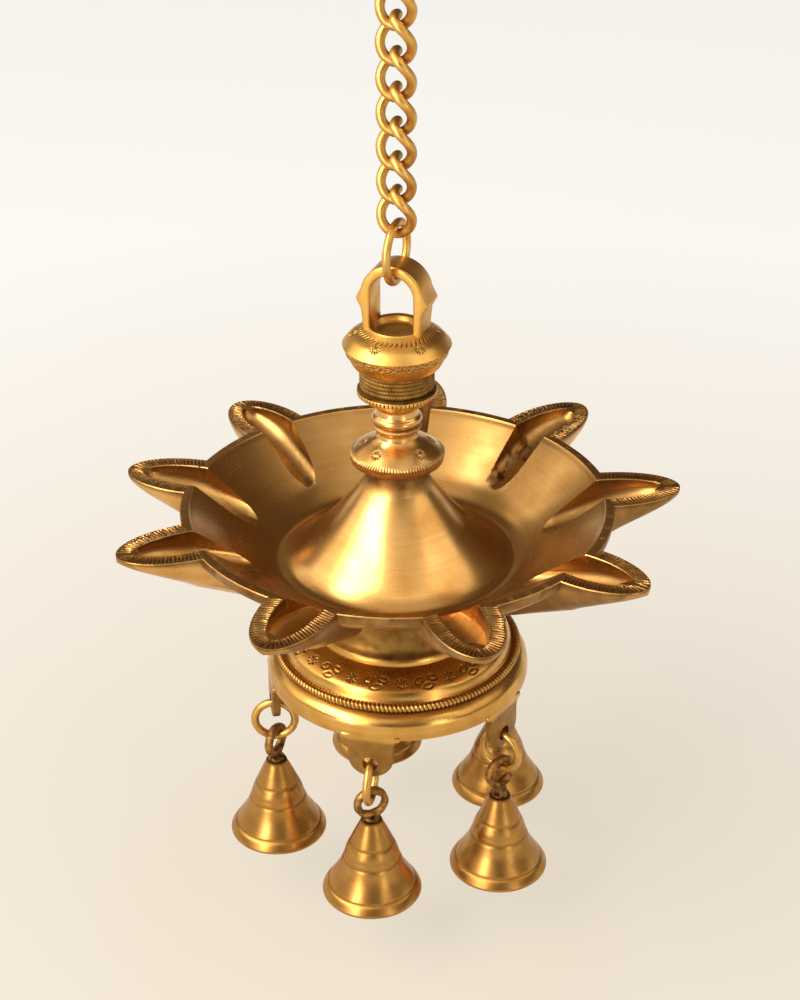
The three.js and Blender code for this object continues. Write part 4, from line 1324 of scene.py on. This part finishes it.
@dataclass
class Pedestal:
    """The hollow foot: neck, shoulder, rope bead, skirt and five bell tabs. Sizes are in millimetres."""

    bore: float = 3.3
    top: float = -37.3
    top_radius: float = 37.0
    web: float = 5.0
    wall: float = 4.0
    neck_radius: float = 33.5
    neck_height: float = -46.0
    ring_radius: float = 38.6
    ring_height: float = -60.0
    shoulder_radius: float = 52.0
    shoulder_foot: float = -70.5
    rope_radius: float = 54.2
    rope_height: float = -72.6
    rope_half: float = 1.9
    skirt_radius: float = 59.6
    skirt_edge: float = -83.6
    foot: float = -86.6
    skirt_wall: float = 6.4
    tab_angles: tuple[float, ...] = TAB_ANGLES
    tab_inset: float = 2.5
    tab_thickness: float = 3.6
    tab_width: float = 20.4
    tab_foot: float = -106.6
    tab_hole: float = 7.0
    tab_hole_edge: float = 3.3
    tab_bevel: float = 0.7
    motifs: int = 13
    motif_radius: float = 46.6
    motif_height: float = -64.7
    leaves: tuple[tuple[float, float, float], ...] = ((-3.3, 0.9, 35), (2.7, 1.6, -20), (0.3, -2.3, 12))
    leaf_half: float = 2.5
    leaf_half_width: float = 1.3
    leaf_depth: float = 0.38
    floret_size: float = 2.6
    floret_rays: int = 8
    floret_depth: float = 0.4
    centre_size: float = 0.6
    centre_depth: float = 0.34
    tooth_radius: float = 40.6
    teeth: int = 144
    tooth_depth: float = 0.45
    tooth_rise: float = 0.25
    strands: int = 184
    strand_depth: float = 0.55
    # tarnish from 0 to 1, and painted shade over the neck under the bowl
    neck_painted_shade: float = 0.72
    groove_dirt: float = 0.8
    cut_dirt: float = 0.95
    tooth_dirt: float = 0.3
    tab_dirt: float = 0.55

    def outside(self) -> list[Point2]:
        """The profile from the skirt's foot up to the seat under the bowl."""
        ring_foot = (self.ring_radius, self.ring_height - 1.5)
        shoulder_foot = (self.shoulder_radius, self.shoulder_foot)
        shoulder = smooth_line(
            [
                shoulder_foot,
                between(ring_foot, shoulder_foot, 0.86, 0.58),
                between(ring_foot, shoulder_foot, 0.485, 0.247),
                ring_foot,
            ],
            13,
        )
        return [
            (self.skirt_radius - self.skirt_wall, self.foot), (self.skirt_radius - 0.9, self.foot),
            *smooth_line(
                [
                    (self.skirt_radius - 0.4, self.foot + 0.4),
                    (self.skirt_radius - 0.1, self.skirt_edge - 0.4),
                    (self.skirt_radius - 0.25, self.skirt_edge + 1.5),
                    (self.skirt_radius - 0.9, self.skirt_edge + 4.6),
                    (self.rope_radius + 2.7, self.rope_height - 4.1),
                ],
                5,
            ),
            (self.rope_radius + 1.0, self.rope_height - 2.9),
            (self.rope_radius - 0.8, self.rope_height - 2.2),
            (self.rope_radius - 1.4, self.rope_height),
            (self.rope_radius - 1.8, self.rope_height + 1.6),
            *shoulder,
            (self.ring_radius - 0.1, self.ring_height + 0.2),
            *smooth_line(
                [
                    (self.ring_radius - 0.9, self.ring_height + 1.5),
                    (self.ring_radius - 3.2, self.ring_height + 3.6),
                    (self.neck_radius + 0.9, self.ring_height + 6.5),
                    (self.neck_radius, self.neck_height),
                    (self.neck_radius + 1.1, self.neck_height + 5.2), (self.top_radius, self.top),
                ],
                6,
            ),
        ]

    def inside(self) -> list[Point2]:
        """The hollow's profile from its roof down to the skirt's foot."""
        return [
            (self.bore, self.top), (self.bore, self.top - self.web),
            *smooth_line(
                [
                    (self.neck_radius - self.wall - 1, self.top - self.web),
                    (self.neck_radius - self.wall, self.neck_height - self.wall),
                    (self.ring_radius - self.wall, self.ring_height - self.wall - 1),
                    (self.shoulder_radius - self.wall - 3, self.shoulder_foot - self.wall),
                    (self.skirt_radius - self.skirt_wall, self.skirt_edge),
                ],
                3,
            ),
        ]

    def marks(self, bm: Shell) -> tuple[np.ndarray, np.ndarray]:
        """Depth of the tooth ring, the leaf trios and the florets, the dirt in them, and the painted shade on
        the neck.
        """
        coords = coordinates(bm)
        radius, angle, height = coords
        turn = np.radians(angle)
        outer = radius > self.neck_radius - 1
        slope = ridge(radius - self.tooth_radius, 1.5) * (height > -64.5) * (height < -60.6)
        herringbone = teeth(turn * self.teeth + (radius - self.tooth_radius) * 0.9, 2)
        depth = np.maximum(0, self.tooth_depth * slope * herringbone) - self.tooth_rise * slope
        face = (height < -61.5) & (height > self.shoulder_foot + 0.5) & outer
        spacing = 360 / self.motifs
        for index in range(self.motifs):
            wander = noise.noise(Vector((index * 1.7, 3.0, 0.0))) * 3
            start = spacing * index + 2 + wander
            spot = (self.motif_radius, start, self.motif_height)
            out = np.hypot(*on_slope(spot, coords))
            rays = floret(spot, coords, self.floret_size, self.floret_rays)
            depth = np.maximum(depth, self.floret_depth * face * rays)
            depth = np.maximum(depth, self.centre_depth * face * ridge(out, self.centre_size))
            beside, up = on_slope((self.motif_radius, start + spacing / 2, self.motif_height), coords)
            for offset_x, offset_y, tilt in self.leaves:
                across = beside - offset_x
                lean = math.radians(tilt + wander * 12)
                long = across * math.cos(lean) + (up - offset_y) * math.sin(lean)
                short = -across * math.sin(lean) + (up - offset_y) * math.cos(lean)
                edge = np.abs(short) - self.leaf_half_width * (1 - (long / self.leaf_half) ** 2)
                line = ridge(edge, 0.3) * (np.abs(long) < self.leaf_half + 0.1) * face
                depth = np.maximum(depth, self.leaf_depth * line)
        groove = clipped(1 - np.abs(height - (self.rope_height - 2.3)) / 1.3) * (radius > 50)
        # painted shade over the whole neck, under the bowl
        neck = ((height > self.ring_height + 1.0) & outer) * self.neck_painted_shade
        cuts = clipped(depth / 0.26) * np.where(slope > 0.3, self.tooth_dirt, self.cut_dirt)
        return depth, highest(cuts, groove * self.groove_dirt, neck)

    def tab(self) -> Shell:
        """One bell tab: a plate with a round end and a drilled hole, standing along X."""
        half = self.tab_width / 2
        root = self.foot + 2
        side = [
            (half + 3, root), (half + 3, self.foot - 0.1), (half + 1.3, self.foot - 0.7),
            (half + 0.3, self.foot - 2.2), (half, self.foot - 4),
        ]
        outline = side + rounded((0, self.tab_foot + half), half, 0, -180, 24)
        outline += [(-x, z) for x, z in reversed(side)]
        inner = self.skirt_radius - self.tab_inset - self.tab_thickness / 2
        face = [(inner, y, z) for y, z in outline]
        bm = plate(face, (self.tab_thickness, 0, 0), self.tab_bevel, sharp=60)
        drill = bmesh.new()
        height = self.tab_foot + self.tab_hole_edge + self.tab_hole / 2
        stand = Matrix.Translation((inner + self.tab_thickness / 2, 0, height))
        bmesh.ops.create_cone(
            drill,
            cap_ends=True,
            segments=28,
            radius1=self.tab_hole / 2,
            radius2=self.tab_hole / 2,
            depth=3 * self.tab_thickness,
            matrix=stand @ Matrix.Rotation(math.pi / 2, 4, "Y"),
        )
        return combine(bm, drill, "DIFFERENCE")

    def rope(self) -> Shell:
        """The rope bead round the shoulder's foot."""
        section = rounded((self.rope_radius, self.rope_height), self.rope_half, 0, 330, 11)
        bm = turned(section, 1104, closed=True)
        radius, angle, height = coordinates(bm)
        around = np.arctan2(height - self.rope_height, radius - self.rope_radius)
        strands = 0.5 - 0.5 * np.cos(np.radians(angle) * self.strands + around * 1.1)
        depth = self.strand_depth * (1 - strands) ** 2
        press(bm, depth, np.clip(depth / self.strand_depth, 0, self.groove_dirt))
        return bm

    def build(self) -> None:
        """Turn and punch the foot, cast on its tabs and dress both pieces."""
        bm = turned([*self.inside(), *self.outside()[:-1], (self.top_radius, self.top)], 768, closed=True)
        press(bm, *self.marks(bm))
        tabs = [self.tab() for _ in self.tab_angles]
        for tab, degrees in zip(tabs, self.tab_angles):
            tab.transform(turn_z(degrees + FRONT))
        bm = combine(bm, joined(*tabs), "UNION")
        unsettle(bm, 16.0, 0.22, 11.0)
        layer = grime_and_shade_layer(bm)
        for vert in bm.verts:
            if vert.co.z < self.foot - 0.3:
                vert[layer] = self.tab_dirt
        brass = FOOT_BRASS.material()
        stand_in("pedestal", "casting").set_down(bm, brass)
        Piece("pedestal_rope", "lamp", "polished_brass", ()).set_down(self.rope(), brass)


@dataclass
class Hanger:
    """The hook, chain and ring that the lamp hangs by. Sizes are in millimetres."""

    yaw: float = -20.0
    gap: float = 0.3
    hook_wire: float = 4.6
    hook_share: float = 0.86  # of the solid's wire, so that the swells stay in its box
    hook_top_bend: float = 10.0
    hook_low_bend: float = 7.0
    hook_spacing: float = 30.0
    hook_top_end: float = 205.0
    hook_low_end: float = 62.0
    links: int = 8
    link_wire: float = 4.2
    link_inner: float = 14.55
    link_width: float = 19.2
    link_ease: float = 2.2
    link_share: float = 0.985
    ring_wire: float = 3.6
    ring_radius: float = 12.4
    ring_split: float = 62.0
    ring_sweep: float = 358.4

    def place(self, height: float) -> Matrix:
        """From a hanging piece's own frame to the rim's, at this height in the row frame."""
        drop = Matrix.Translation((0, 0, height - RIM_HEIGHT / MM))
        return drop @ turn_z(self.yaw)

    def hook(self) -> float:
        """Bend the S-hook, and give the height of its lowest wire's middle."""
        upper = -(self.hook_top_bend - self.hook_wire / 2)
        lower = upper - self.hook_spacing
        crossing = math.degrees(math.asin((self.hook_top_bend + self.hook_low_bend) / self.hook_spacing))
        top = rounded((0, upper), self.hook_top_bend, self.hook_top_end, -crossing, 60)
        foot = rounded((0, lower), self.hook_low_bend, 180 - crossing, 360 + self.hook_low_end, 50)
        straight = [between(top[-1], foot[0], share, share) for share in (0.2, 0.4, 0.6, 0.8)]
        path = [Vector((x, 0, z)) for x, z in [*top, *straight, *foot]]
        bm = wire(path, self.hook_wire / 2 * self.hook_share, 20, closed=False, lump=0.02)
        stand_in("top_hook", "bent", "hook", "wire_brass").set_down(bm, WIRE_BRASS.material(), self.place(0))
        return lower - self.hook_low_bend

    def link(self, seed: int) -> Shell:
        """One curb link, an oval twisted a quarter turn from its top to its bottom."""
        span = self.link_inner + self.link_wire
        half = (self.link_width - self.link_wire) / 2
        path = []
        steps = 84
        for step in range(steps):
            angle = 2 * math.pi * step / steps
            rise = (1 + math.cos(angle)) / 2
            turn = -math.pi / 2 * rise**self.link_ease
            side = half * math.sin(angle)
            path.append(Vector((side * math.cos(turn), side * math.sin(turn), span * (rise - 1))))
        bm = wire(path, self.link_wire / 2 * self.link_share, 20, closed=True, lump=0.05)
        unsettle(bm, 5.0, 0.1, seed * 3.7)
        # grime and painted shade inside the link, deepest at its ends where the next links hang
        layer = grime_and_shade_layer(bm)
        for vert in bm.verts:
            inner = 1 - min(1.0, math.hypot(vert.co.x, vert.co.y) / half)
            vert[layer] = 0.55 * inner * (0.4 + 0.6 * abs(vert.co.z / span + 0.5))
        return bm

    def ring(self, height: float, material: bpy.types.Material) -> None:
        """Bend the plain ring, whose two ends meet in front."""
        path = []
        steps = 96
        for step in range(steps + 1):
            angle = math.radians(self.ring_split + self.ring_sweep * step / steps)
            rise = self.ring_radius * (math.sin(angle) - 1)
            path.append(Vector((0, self.ring_radius * math.cos(angle), rise)))
        bm = wire(path, self.ring_wire / 2, 20, closed=False, lump=0.04)
        unsettle(bm, 6.0, 0.06, 2.0)
        stand_in("suspension_ring", "bent", "ring", "wire_brass").set_down(bm, material, self.place(height))

    def build(self) -> None:
        """Hang the ring by the links, and the links by the hook."""
        carrier = self.hook()
        wire_above = self.hook_wire
        material = WIRE_BRASS.material(tag=" chain")
        for index in range(1, self.links + 1):
            height = carrier + (wire_above + self.link_wire) / 2 + self.gap
            curb = stand_in(f"chain_link_{index}", "curb", f"link_{index}", "wire_brass")
            curb.set_down(self.link(index), material, self.place(height))
            carrier = height - self.link_inner - self.link_wire
            wire_above = self.link_wire
        self.ring(carrier + (self.link_wire + self.ring_wire) / 2 + self.gap, material)


@dataclass
class Bells:
    """Five bells on their jump rings. Heights are above the ring's wire in its hole, in millimetres."""

    tab_angles: tuple[float, ...] = TAB_ANGLES
    tab_radius: float = 57.4
    jump_height: float = -100.925
    jump_wire: float = 3.6
    jump_radius: float = 9.2
    ring_yaws: tuple[float, ...] = (0, 0, 0, 0, -8)
    splits: tuple[float, ...] = (205, 160, 200, 30, 200)
    eye_radius: float = 6.4
    eye_band: float = 3.5
    eye_width: float = 4.2
    eye_yaws: tuple[float, ...] = (32, -18, 12, -20, -36)
    necks: tuple[float, ...] = (0.8, 4.8, 6.6, 0.8, 2.6)
    neck_radius: float = 3.9
    shank_radius: float = 2.2
    gap: float = 0.3
    radius: float = 22.5
    height: float = 39.44
    crown_radius: float = 5.2
    wall: float = 2.0
    crown_thickness: float = 3.0
    hook_radius: float = 2.4
    hook_wire: float = 1.6
    loop_radius: float = 2.4
    loop_wire: float = 1.4
    ball: float = 4.2
    drop: float = 22.0
    hook_play: float = 1.6
    side: tuple[Point2, ...] = (
        (7.7, -6.9), (9.9, -12.0), (11.6, -16.0), (12.9, -20.4), (15.2, -26.2), (18.0, -31.0),
        (19.8, -34.0),
    )
    lip: tuple[Point2, ...] = ((20.1, -34.4), (21.3, -36.1))
    grooves: tuple[tuple[float, float, float], ...] = (
        (-12.2, 0.3, 0.42), (-20.4, 0.3, 0.42), (-17.4, 0.06, 0.5), (-34.0, 0.28, 0.5),
    )

    def ring_path(self, radius: float, start: float, sweep: float, steps: int) -> list[Vector]:
        """Points of an upright ring in the XZ plane, hanging from its top wire's middle."""
        angles = [math.radians(start + sweep * step / steps) for step in range(steps + 1)]
        return [Vector((radius * math.cos(a), 0, radius * (math.sin(a) - 1))) for a in angles]

    def eye(self, crown: float, centre: float, seed: int) -> Shell:
        """The rough eye: a flat ring, a lumpy neck on the crown, and a shank with the clapper's hook."""
        steps = 56
        path = self.ring_path(self.eye_radius, 0, 360 * (steps - 1) / steps, steps - 1)
        ring = wire(path, self.eye_band / 2, 16, closed=True, lump=0.16)
        ring.transform(
            Matrix.Translation((0, 0, centre + self.eye_radius))
            @ Matrix.Rotation(math.pi / 2, 4, "Z")
            @ Matrix.Diagonal((1, self.eye_width / self.eye_band, 1, 1))
        )
        foot = crown + self.gap
        top = centre - self.eye_radius
        profile = smooth_line(
            [
                (self.neck_radius, foot), (self.neck_radius + 0.1, foot + 0.9),
                (self.neck_radius - 0.7, foot + 1.8),
                (self.neck_radius - 1.2, (foot + top) / 2 + 0.8),
                (self.neck_radius - 1.3, top + 0.4),
            ],
            5,
        )
        neck = turned([(0.0, foot), *profile, (0.0, top + 0.4)], 32)
        hook_centre = crown - self.crown_thickness - self.hook_radius - self.hook_play
        shank = turned(
            [
                (0.0, hook_centre + self.hook_radius - 0.4),
                (self.shank_radius, hook_centre + self.hook_radius - 0.4),
                (self.shank_radius, foot + 1), (0.0, foot + 1),
            ],
            20,
        )
        hook_path = self.ring_path(self.hook_radius, 0, 345, 23)
        hook = wire(hook_path, self.hook_wire / 2, 10, closed=True)
        hook.transform(
            Matrix.Translation((0, 0, hook_centre + self.hook_radius)) @ Matrix.Rotation(math.pi / 2, 4, "Z")
        )
        bm = combine(combine(combine(ring, neck, "UNION"), shank, "UNION"), hook, "UNION")
        for vert in bm.verts:
            if vert.co.z > foot + 0.5:
                vert.co += noise.noise_vector(vert.co / 2.2 + Vector((seed * 5.0, 0, 0))) * 0.22
        layer = grime_and_shade_layer(bm)
        for vert in bm.verts:
            spot = noise.noise(vert.co / 1.8 + Vector((0, seed * 3.0, 0)))
            vert[layer] = min(1.0, max(0.0, 0.2 - spot * 0.9 + (0.4 if vert.co.z < top + 0.5 else 0.0)))
        return bm

    def cup(self, seed: int) -> Shell:
        """The bell: crown cone, turned grooves, flare and a thick lip. Heights are below the crown."""
        line = smooth_line([(self.crown_radius - 0.2, -0.9), *self.side], 8)
        outside = [
            (self.shank_radius + self.gap, 0.0), (self.crown_radius - 0.9, 0.0),
            (self.crown_radius - 0.4, -0.25),
            *line,
            *smooth_line(
                [
                    *self.lip,
                    (self.radius - 0.1, -self.height + 1.5), (self.radius - 0.1, -self.height + 0.6),
                    (self.radius - 0.7, -self.height),
                ],
                4,
            ),
        ]
        inside = [
            (self.radius - self.wall, -self.height),
            *[(radius - self.wall, height - 0.5) for radius, height in line[::-4] if height < -6],
            (self.crown_radius, -self.crown_thickness - 1),
            (self.shank_radius + self.gap, -self.crown_thickness),
        ]
        bm = turned([*outside, *inside], 160, closed=True)
        radius, _, height = coordinates(bm)
        # a line inside the wall parts the outside from the inside
        outer = radius > np.interp(-height, [0, 12, 20.4, 34, 39.5], [3.4, 9.0, 12.0, 18.9, 21.4])
        depth = highest(*[deep * ridge(height - at, wide) for at, deep, wide in self.grooves])
        crown_dirt = clipped(1 + height / 1.4) * 0.9
        # dirt in the grooves and on the crown, and painted shade over the whole inside of the bell
        dirt_and_shade = highest(clipped(depth / 0.4) * 0.55 * outer, crown_dirt, ~outer * 0.45)
        press(bm, depth * outer, dirt_and_shade)
        unsettle(bm, 14.0, 0.07, seed * 4.0)
        return bm

    def clapper(self) -> Shell:
        """The clapper: a wire loop, its stem and a cast ball."""
        loop = wire(self.ring_path(self.loop_radius, 0, 345, 23), self.loop_wire / 2, 10, closed=True)
        ball_centre = -self.loop_radius - self.drop
        stem_radius = self.loop_wire / 2 + 0.3
        low = -2 * self.loop_radius
        side = [(stem_radius, ball_centre), (stem_radius, low - 0.2)]
        stem = turned([(0.0, ball_centre), *side, (0.0, low + 0.2)], 12)
        half = rounded((0.0, ball_centre), self.ball, 80, -80, 14)
        ball = turned([(0.0, ball_centre + self.ball), *half, (0.0, ball_centre - self.ball)], 28)
        bm = combine(combine(loop, stem, "UNION"), ball, "UNION")
        unsettle(bm, 2.5, 0.08, 1.0)
        return bm

    def build(self) -> None:
        """Hang every bell in its tab."""
        pale = WIRE_BRASS.material(tag=" jump ring")
        dark = DARK_BRONZE.material()
        for index, degrees in enumerate(self.tab_angles):
            number = index + 1
            outwards = math.radians(degrees)
            spot = (self.tab_radius * math.sin(outwards), -self.tab_radius * math.cos(outwards))
            tab = Matrix.Translation((*spot, self.jump_height)) @ turn_z(degrees + FRONT)
            ring_path = self.ring_path(self.jump_radius, self.splits[index], 357.6, 64)
            ring = wire(ring_path, self.jump_wire / 2, 18, closed=False, lump=0.05)
            bent = stand_in(f"jump_ring_{number}", "bent", f"jump_ring_{number}", "wire_brass")
            bent.set_down(ring, pale, tab @ turn_z(self.ring_yaws[index]))

            turned_tab = tab @ turn_z(self.eye_yaws[index])
            eye_top = -2 * self.jump_radius + (self.jump_wire + self.eye_band) / 2 + self.gap
            centre = eye_top - self.eye_radius
            crown = centre - self.eye_radius - self.eye_band / 2 - self.necks[index]
            cast_eye = stand_in(f"bell_eye_{number}", "cast", f"bell_{number}", "dark_bronze")
            cast_eye.set_down(self.eye(crown, centre, number), dark, turned_tab)

            satin = BELL_BRASS.material((spot[0] * MM, spot[1] * MM), f" {number}")
            bell = stand_in(f"bell_{number}", "turned", f"bell_{number}", "bell_brass")
            bell.set_down(self.cup(number), satin, turned_tab @ Matrix.Translation((0, 0, crown)))

            hook_drop = self.crown_thickness + self.hook_radius + self.hook_play
            wire_drop = hook_drop + self.hook_radius - (self.hook_wire + self.loop_wire) / 2 - self.gap
            clapper = stand_in(f"clapper_{number}", "cast", f"clapper_{number}", "dark_bronze")
            clapper.set_down(self.clapper(), dark, turned_tab @ Matrix.Translation((0, 0, crown - wire_drop)))


@dataclass
class Fastening:
    """The hidden tie rod, washer and nut, which keep their CAD shapes."""

    def build(self) -> None:
        """Give the three CAD nodes their finishes."""
        for node, finish in (("tie_rod", STEEL), ("nut", STEEL), ("washer", CAST_BRASS)):
            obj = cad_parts[node]
            material = finish.material(tag=f" {node}")
            obj.data.materials.clear()
            obj.data.materials.append(material)
            log.info("%s: CAD node dressed", node)


@dataclass(frozen=True)
class SoftBox:
    """An area light. Lengths are in metres.

    Attributes:
        name: Of the light.
        place: Its middle.
        size: Width and height.
        power: In watts.
        colour: Of its light.
        aim_height: It faces this height on the lamp's axis.
    """

    name: str
    place: tuple[float, float, float]
    size: tuple[float, float]
    power: float
    colour: str = "#fffdf8"
    aim_height: float = -0.3

    def hang(self) -> None:
        """Put the light in the scene."""
        data = bpy.data.lights.new(self.name, "AREA")
        data.shape = "RECTANGLE"
        data.size, data.size_y = self.size
        data.energy = self.power
        data.color = linear(self.colour)[:3]
        lamp = linked(self.name, data)
        lamp.location = self.place
        direction = Vector((0, 0, self.aim_height)) - Vector(self.place)
        lamp.rotation_euler = direction.to_track_quat("-Z", "Y").to_euler()


@dataclass
class Studio:
    """The cream floor with a painted shadow round the lamp, the soft lights and the photograph's camera.
    Sizes are in metres.
    """

    floor_gap: float = 0.03
    floor_half: float = 9.0
    flat_radius: float = 7.0
    edge_slope: float = 0.35
    edge_height: float = 1.4
    # the floor's cream is painted darker round the lamp's axis as its shadow, fading to the far colour at the
    # far radius
    painted_shadow_colour: str = "#eadfce"
    painted_shadow_radius: float = 0.1
    far_colour: str = "#fffdf8"
    far_radius: float = 0.85
    even_share: float = 0.85
    room_colour: str = "#dcae80"
    room_strength: float = 0.14
    focal: float = 72.0
    sensor: float = 36.0
    camera_place: tuple[float, float, float] = (0.0, -0.763941, 0.146536)
    camera_aim: tuple[float, float, float] = (0.001375, 0.8714971, -0.49039873)
    roll: float = -0.0028
    lights: tuple[SoftBox, ...] = (
        SoftBox("key", (-1.0, -0.58, 0.72), (1.0, 0.9), 24, "#fffaf2"),
        SoftBox("front soft", (0.15, -0.82, 1.02), (2.0, 0.9), 5),
        SoftBox("fill", (1.15, -0.25, 0.68), (1.1, 1.0), 5, "#fff8ee"),
        SoftBox("top", (0.0, -0.1, 1.2), (1.4, 1.2), 3),
        SoftBox("left top", (-0.78, -0.08, 0.88), (0.42, 0.42), 3),
        SoftBox("left soft", (-1.3, 0.15, 0.35), (0.8, 0.8), 3.6),
        SoftBox("back", (-0.5, 1.9, 0.78), (1.5, 0.8), 0.5, "#fff4e0"),
        SoftBox("back left", (-1.36, 0.96, 0.81), (0.9, 0.7), 2, "#fff8ee"),
        SoftBox("left strip", (-0.75, -0.95, 0.05), (0.2, 0.9), 9, "#fffaf2", aim_height=-0.35),
        SoftBox("right strip", (0.72, -1.0, 0.0), (0.14, 0.8), 2.4, "#fffaf2", aim_height=-0.35),
    )

    def floor(self) -> None:
        """Lay the floor under the bells, with its far edge raised behind the lamp."""
        bm = bmesh.new()
        bmesh.ops.create_grid(bm, x_segments=60, y_segments=60, size=self.floor_half)
        for vert in bm.verts:
            rise = self.edge_slope * max(0.0, vert.co.length - self.flat_radius) ** 2
            vert.co.z = min(self.edge_height, rise)
        mesh = settled("floor", bm)
        mesh.transform(Matrix.Translation((0, 0, CAD_BOX[0][2] - self.floor_gap)))
        mesh.materials.append(self.paint())
        floor = linked("floor", mesh)

    def paint(self) -> bpy.types.Material:
        """The floor's cream paint, darker round the lamp's axis as a painted shadow, and lit evenly where the
        camera or the metal sees it.
        """
        material = empty_material("painted cream floor")
        tree = material.node_tree
        rays = add_node(tree, "LightPath").outputs
        mirrored = maths(tree, "MAXIMUM", rays["Is Glossy Ray"], rays["Is Transmission Ray"])
        seen = maths(tree, "MAXIMUM", rays["Is Camera Ray"], mirrored)
        share = maths(tree, "MULTIPLY", seen, self.even_share)
        coords = add_node(tree, "TexCoord").outputs["Object"]
        flat = vectors(tree, "MULTIPLY", coords, (1, 1, 0))
        reach = add_node(tree, "VectorMath", {0: flat}, operation="LENGTH").outputs["Value"]
        # painted shadow: darker cream near the lamp's axis, fading outwards
        away = ranged(tree, reach, from_min=self.painted_shadow_radius, from_max=self.far_radius)
        cream = blended(tree, away, linear(self.painted_shadow_colour), linear(self.far_colour))
        diffuse = add_node(tree, "BsdfDiffuse", {"Color": cream}).outputs[0]
        even = add_node(tree, "Emission", {"Color": cream, "Strength": 1.0}).outputs[0]
        mixed = add_node(tree, "MixShader", {0: share, 1: diffuse, 2: even}).outputs[0]
        add_node(tree, "OutputMaterial", {"Surface": mixed})
        return material

    def camera(self) -> None:
        """Stand the camera where the photograph was taken from."""
        data = bpy.data.cameras.new("camera")
        data.lens = self.focal
        data.sensor_width = self.sensor
        camera = linked("camera", data)
        ahead = Vector(self.camera_aim).normalized()
        right = Vector((1, 0, 0))
        right = (right - ahead * right.dot(ahead)).normalized()
        up = right.cross(ahead)
        rolled = right * math.cos(self.roll) + up * math.sin(self.roll)
        upright = up * math.cos(self.roll) - right * math.sin(self.roll)
        turn = Matrix((rolled, upright, -ahead)).transposed().to_4x4()
        camera.matrix_world = Matrix.Translation(self.camera_place) @ turn
        bpy.context.scene.camera = camera

    def world(self) -> None:
        """Light the room dimly and warmly."""
        world = bpy.data.worlds.new("room")
        bpy.context.scene.world = world
        world.use_nodes = True
        background = world.node_tree.nodes["Background"]
        background.inputs["Color"].default_value = linear(self.room_colour)
        background.inputs["Strength"].default_value = self.room_strength

    def build(self) -> None:
        """Set up the whole studio."""
        bpy.context.scene.view_settings.view_transform = "Standard"
        self.camera()
        self.floor()
        self.world()
        for light in self.lights:
            light.hang()


def main() -> None:
    """Build the studio and every sub-assembly in order, and log each as it is built."""
    logging.basicConfig(level=logging.INFO, format="%(name)s %(message)s")
    for part in (Studio(), Bowl(), Collar(), Finial(), Pedestal(), Hanger(), Bells(), Fastening()):
        part.build()
        log.info("%s is built", type(part).__name__)


if __name__ == "__main__":
    main()
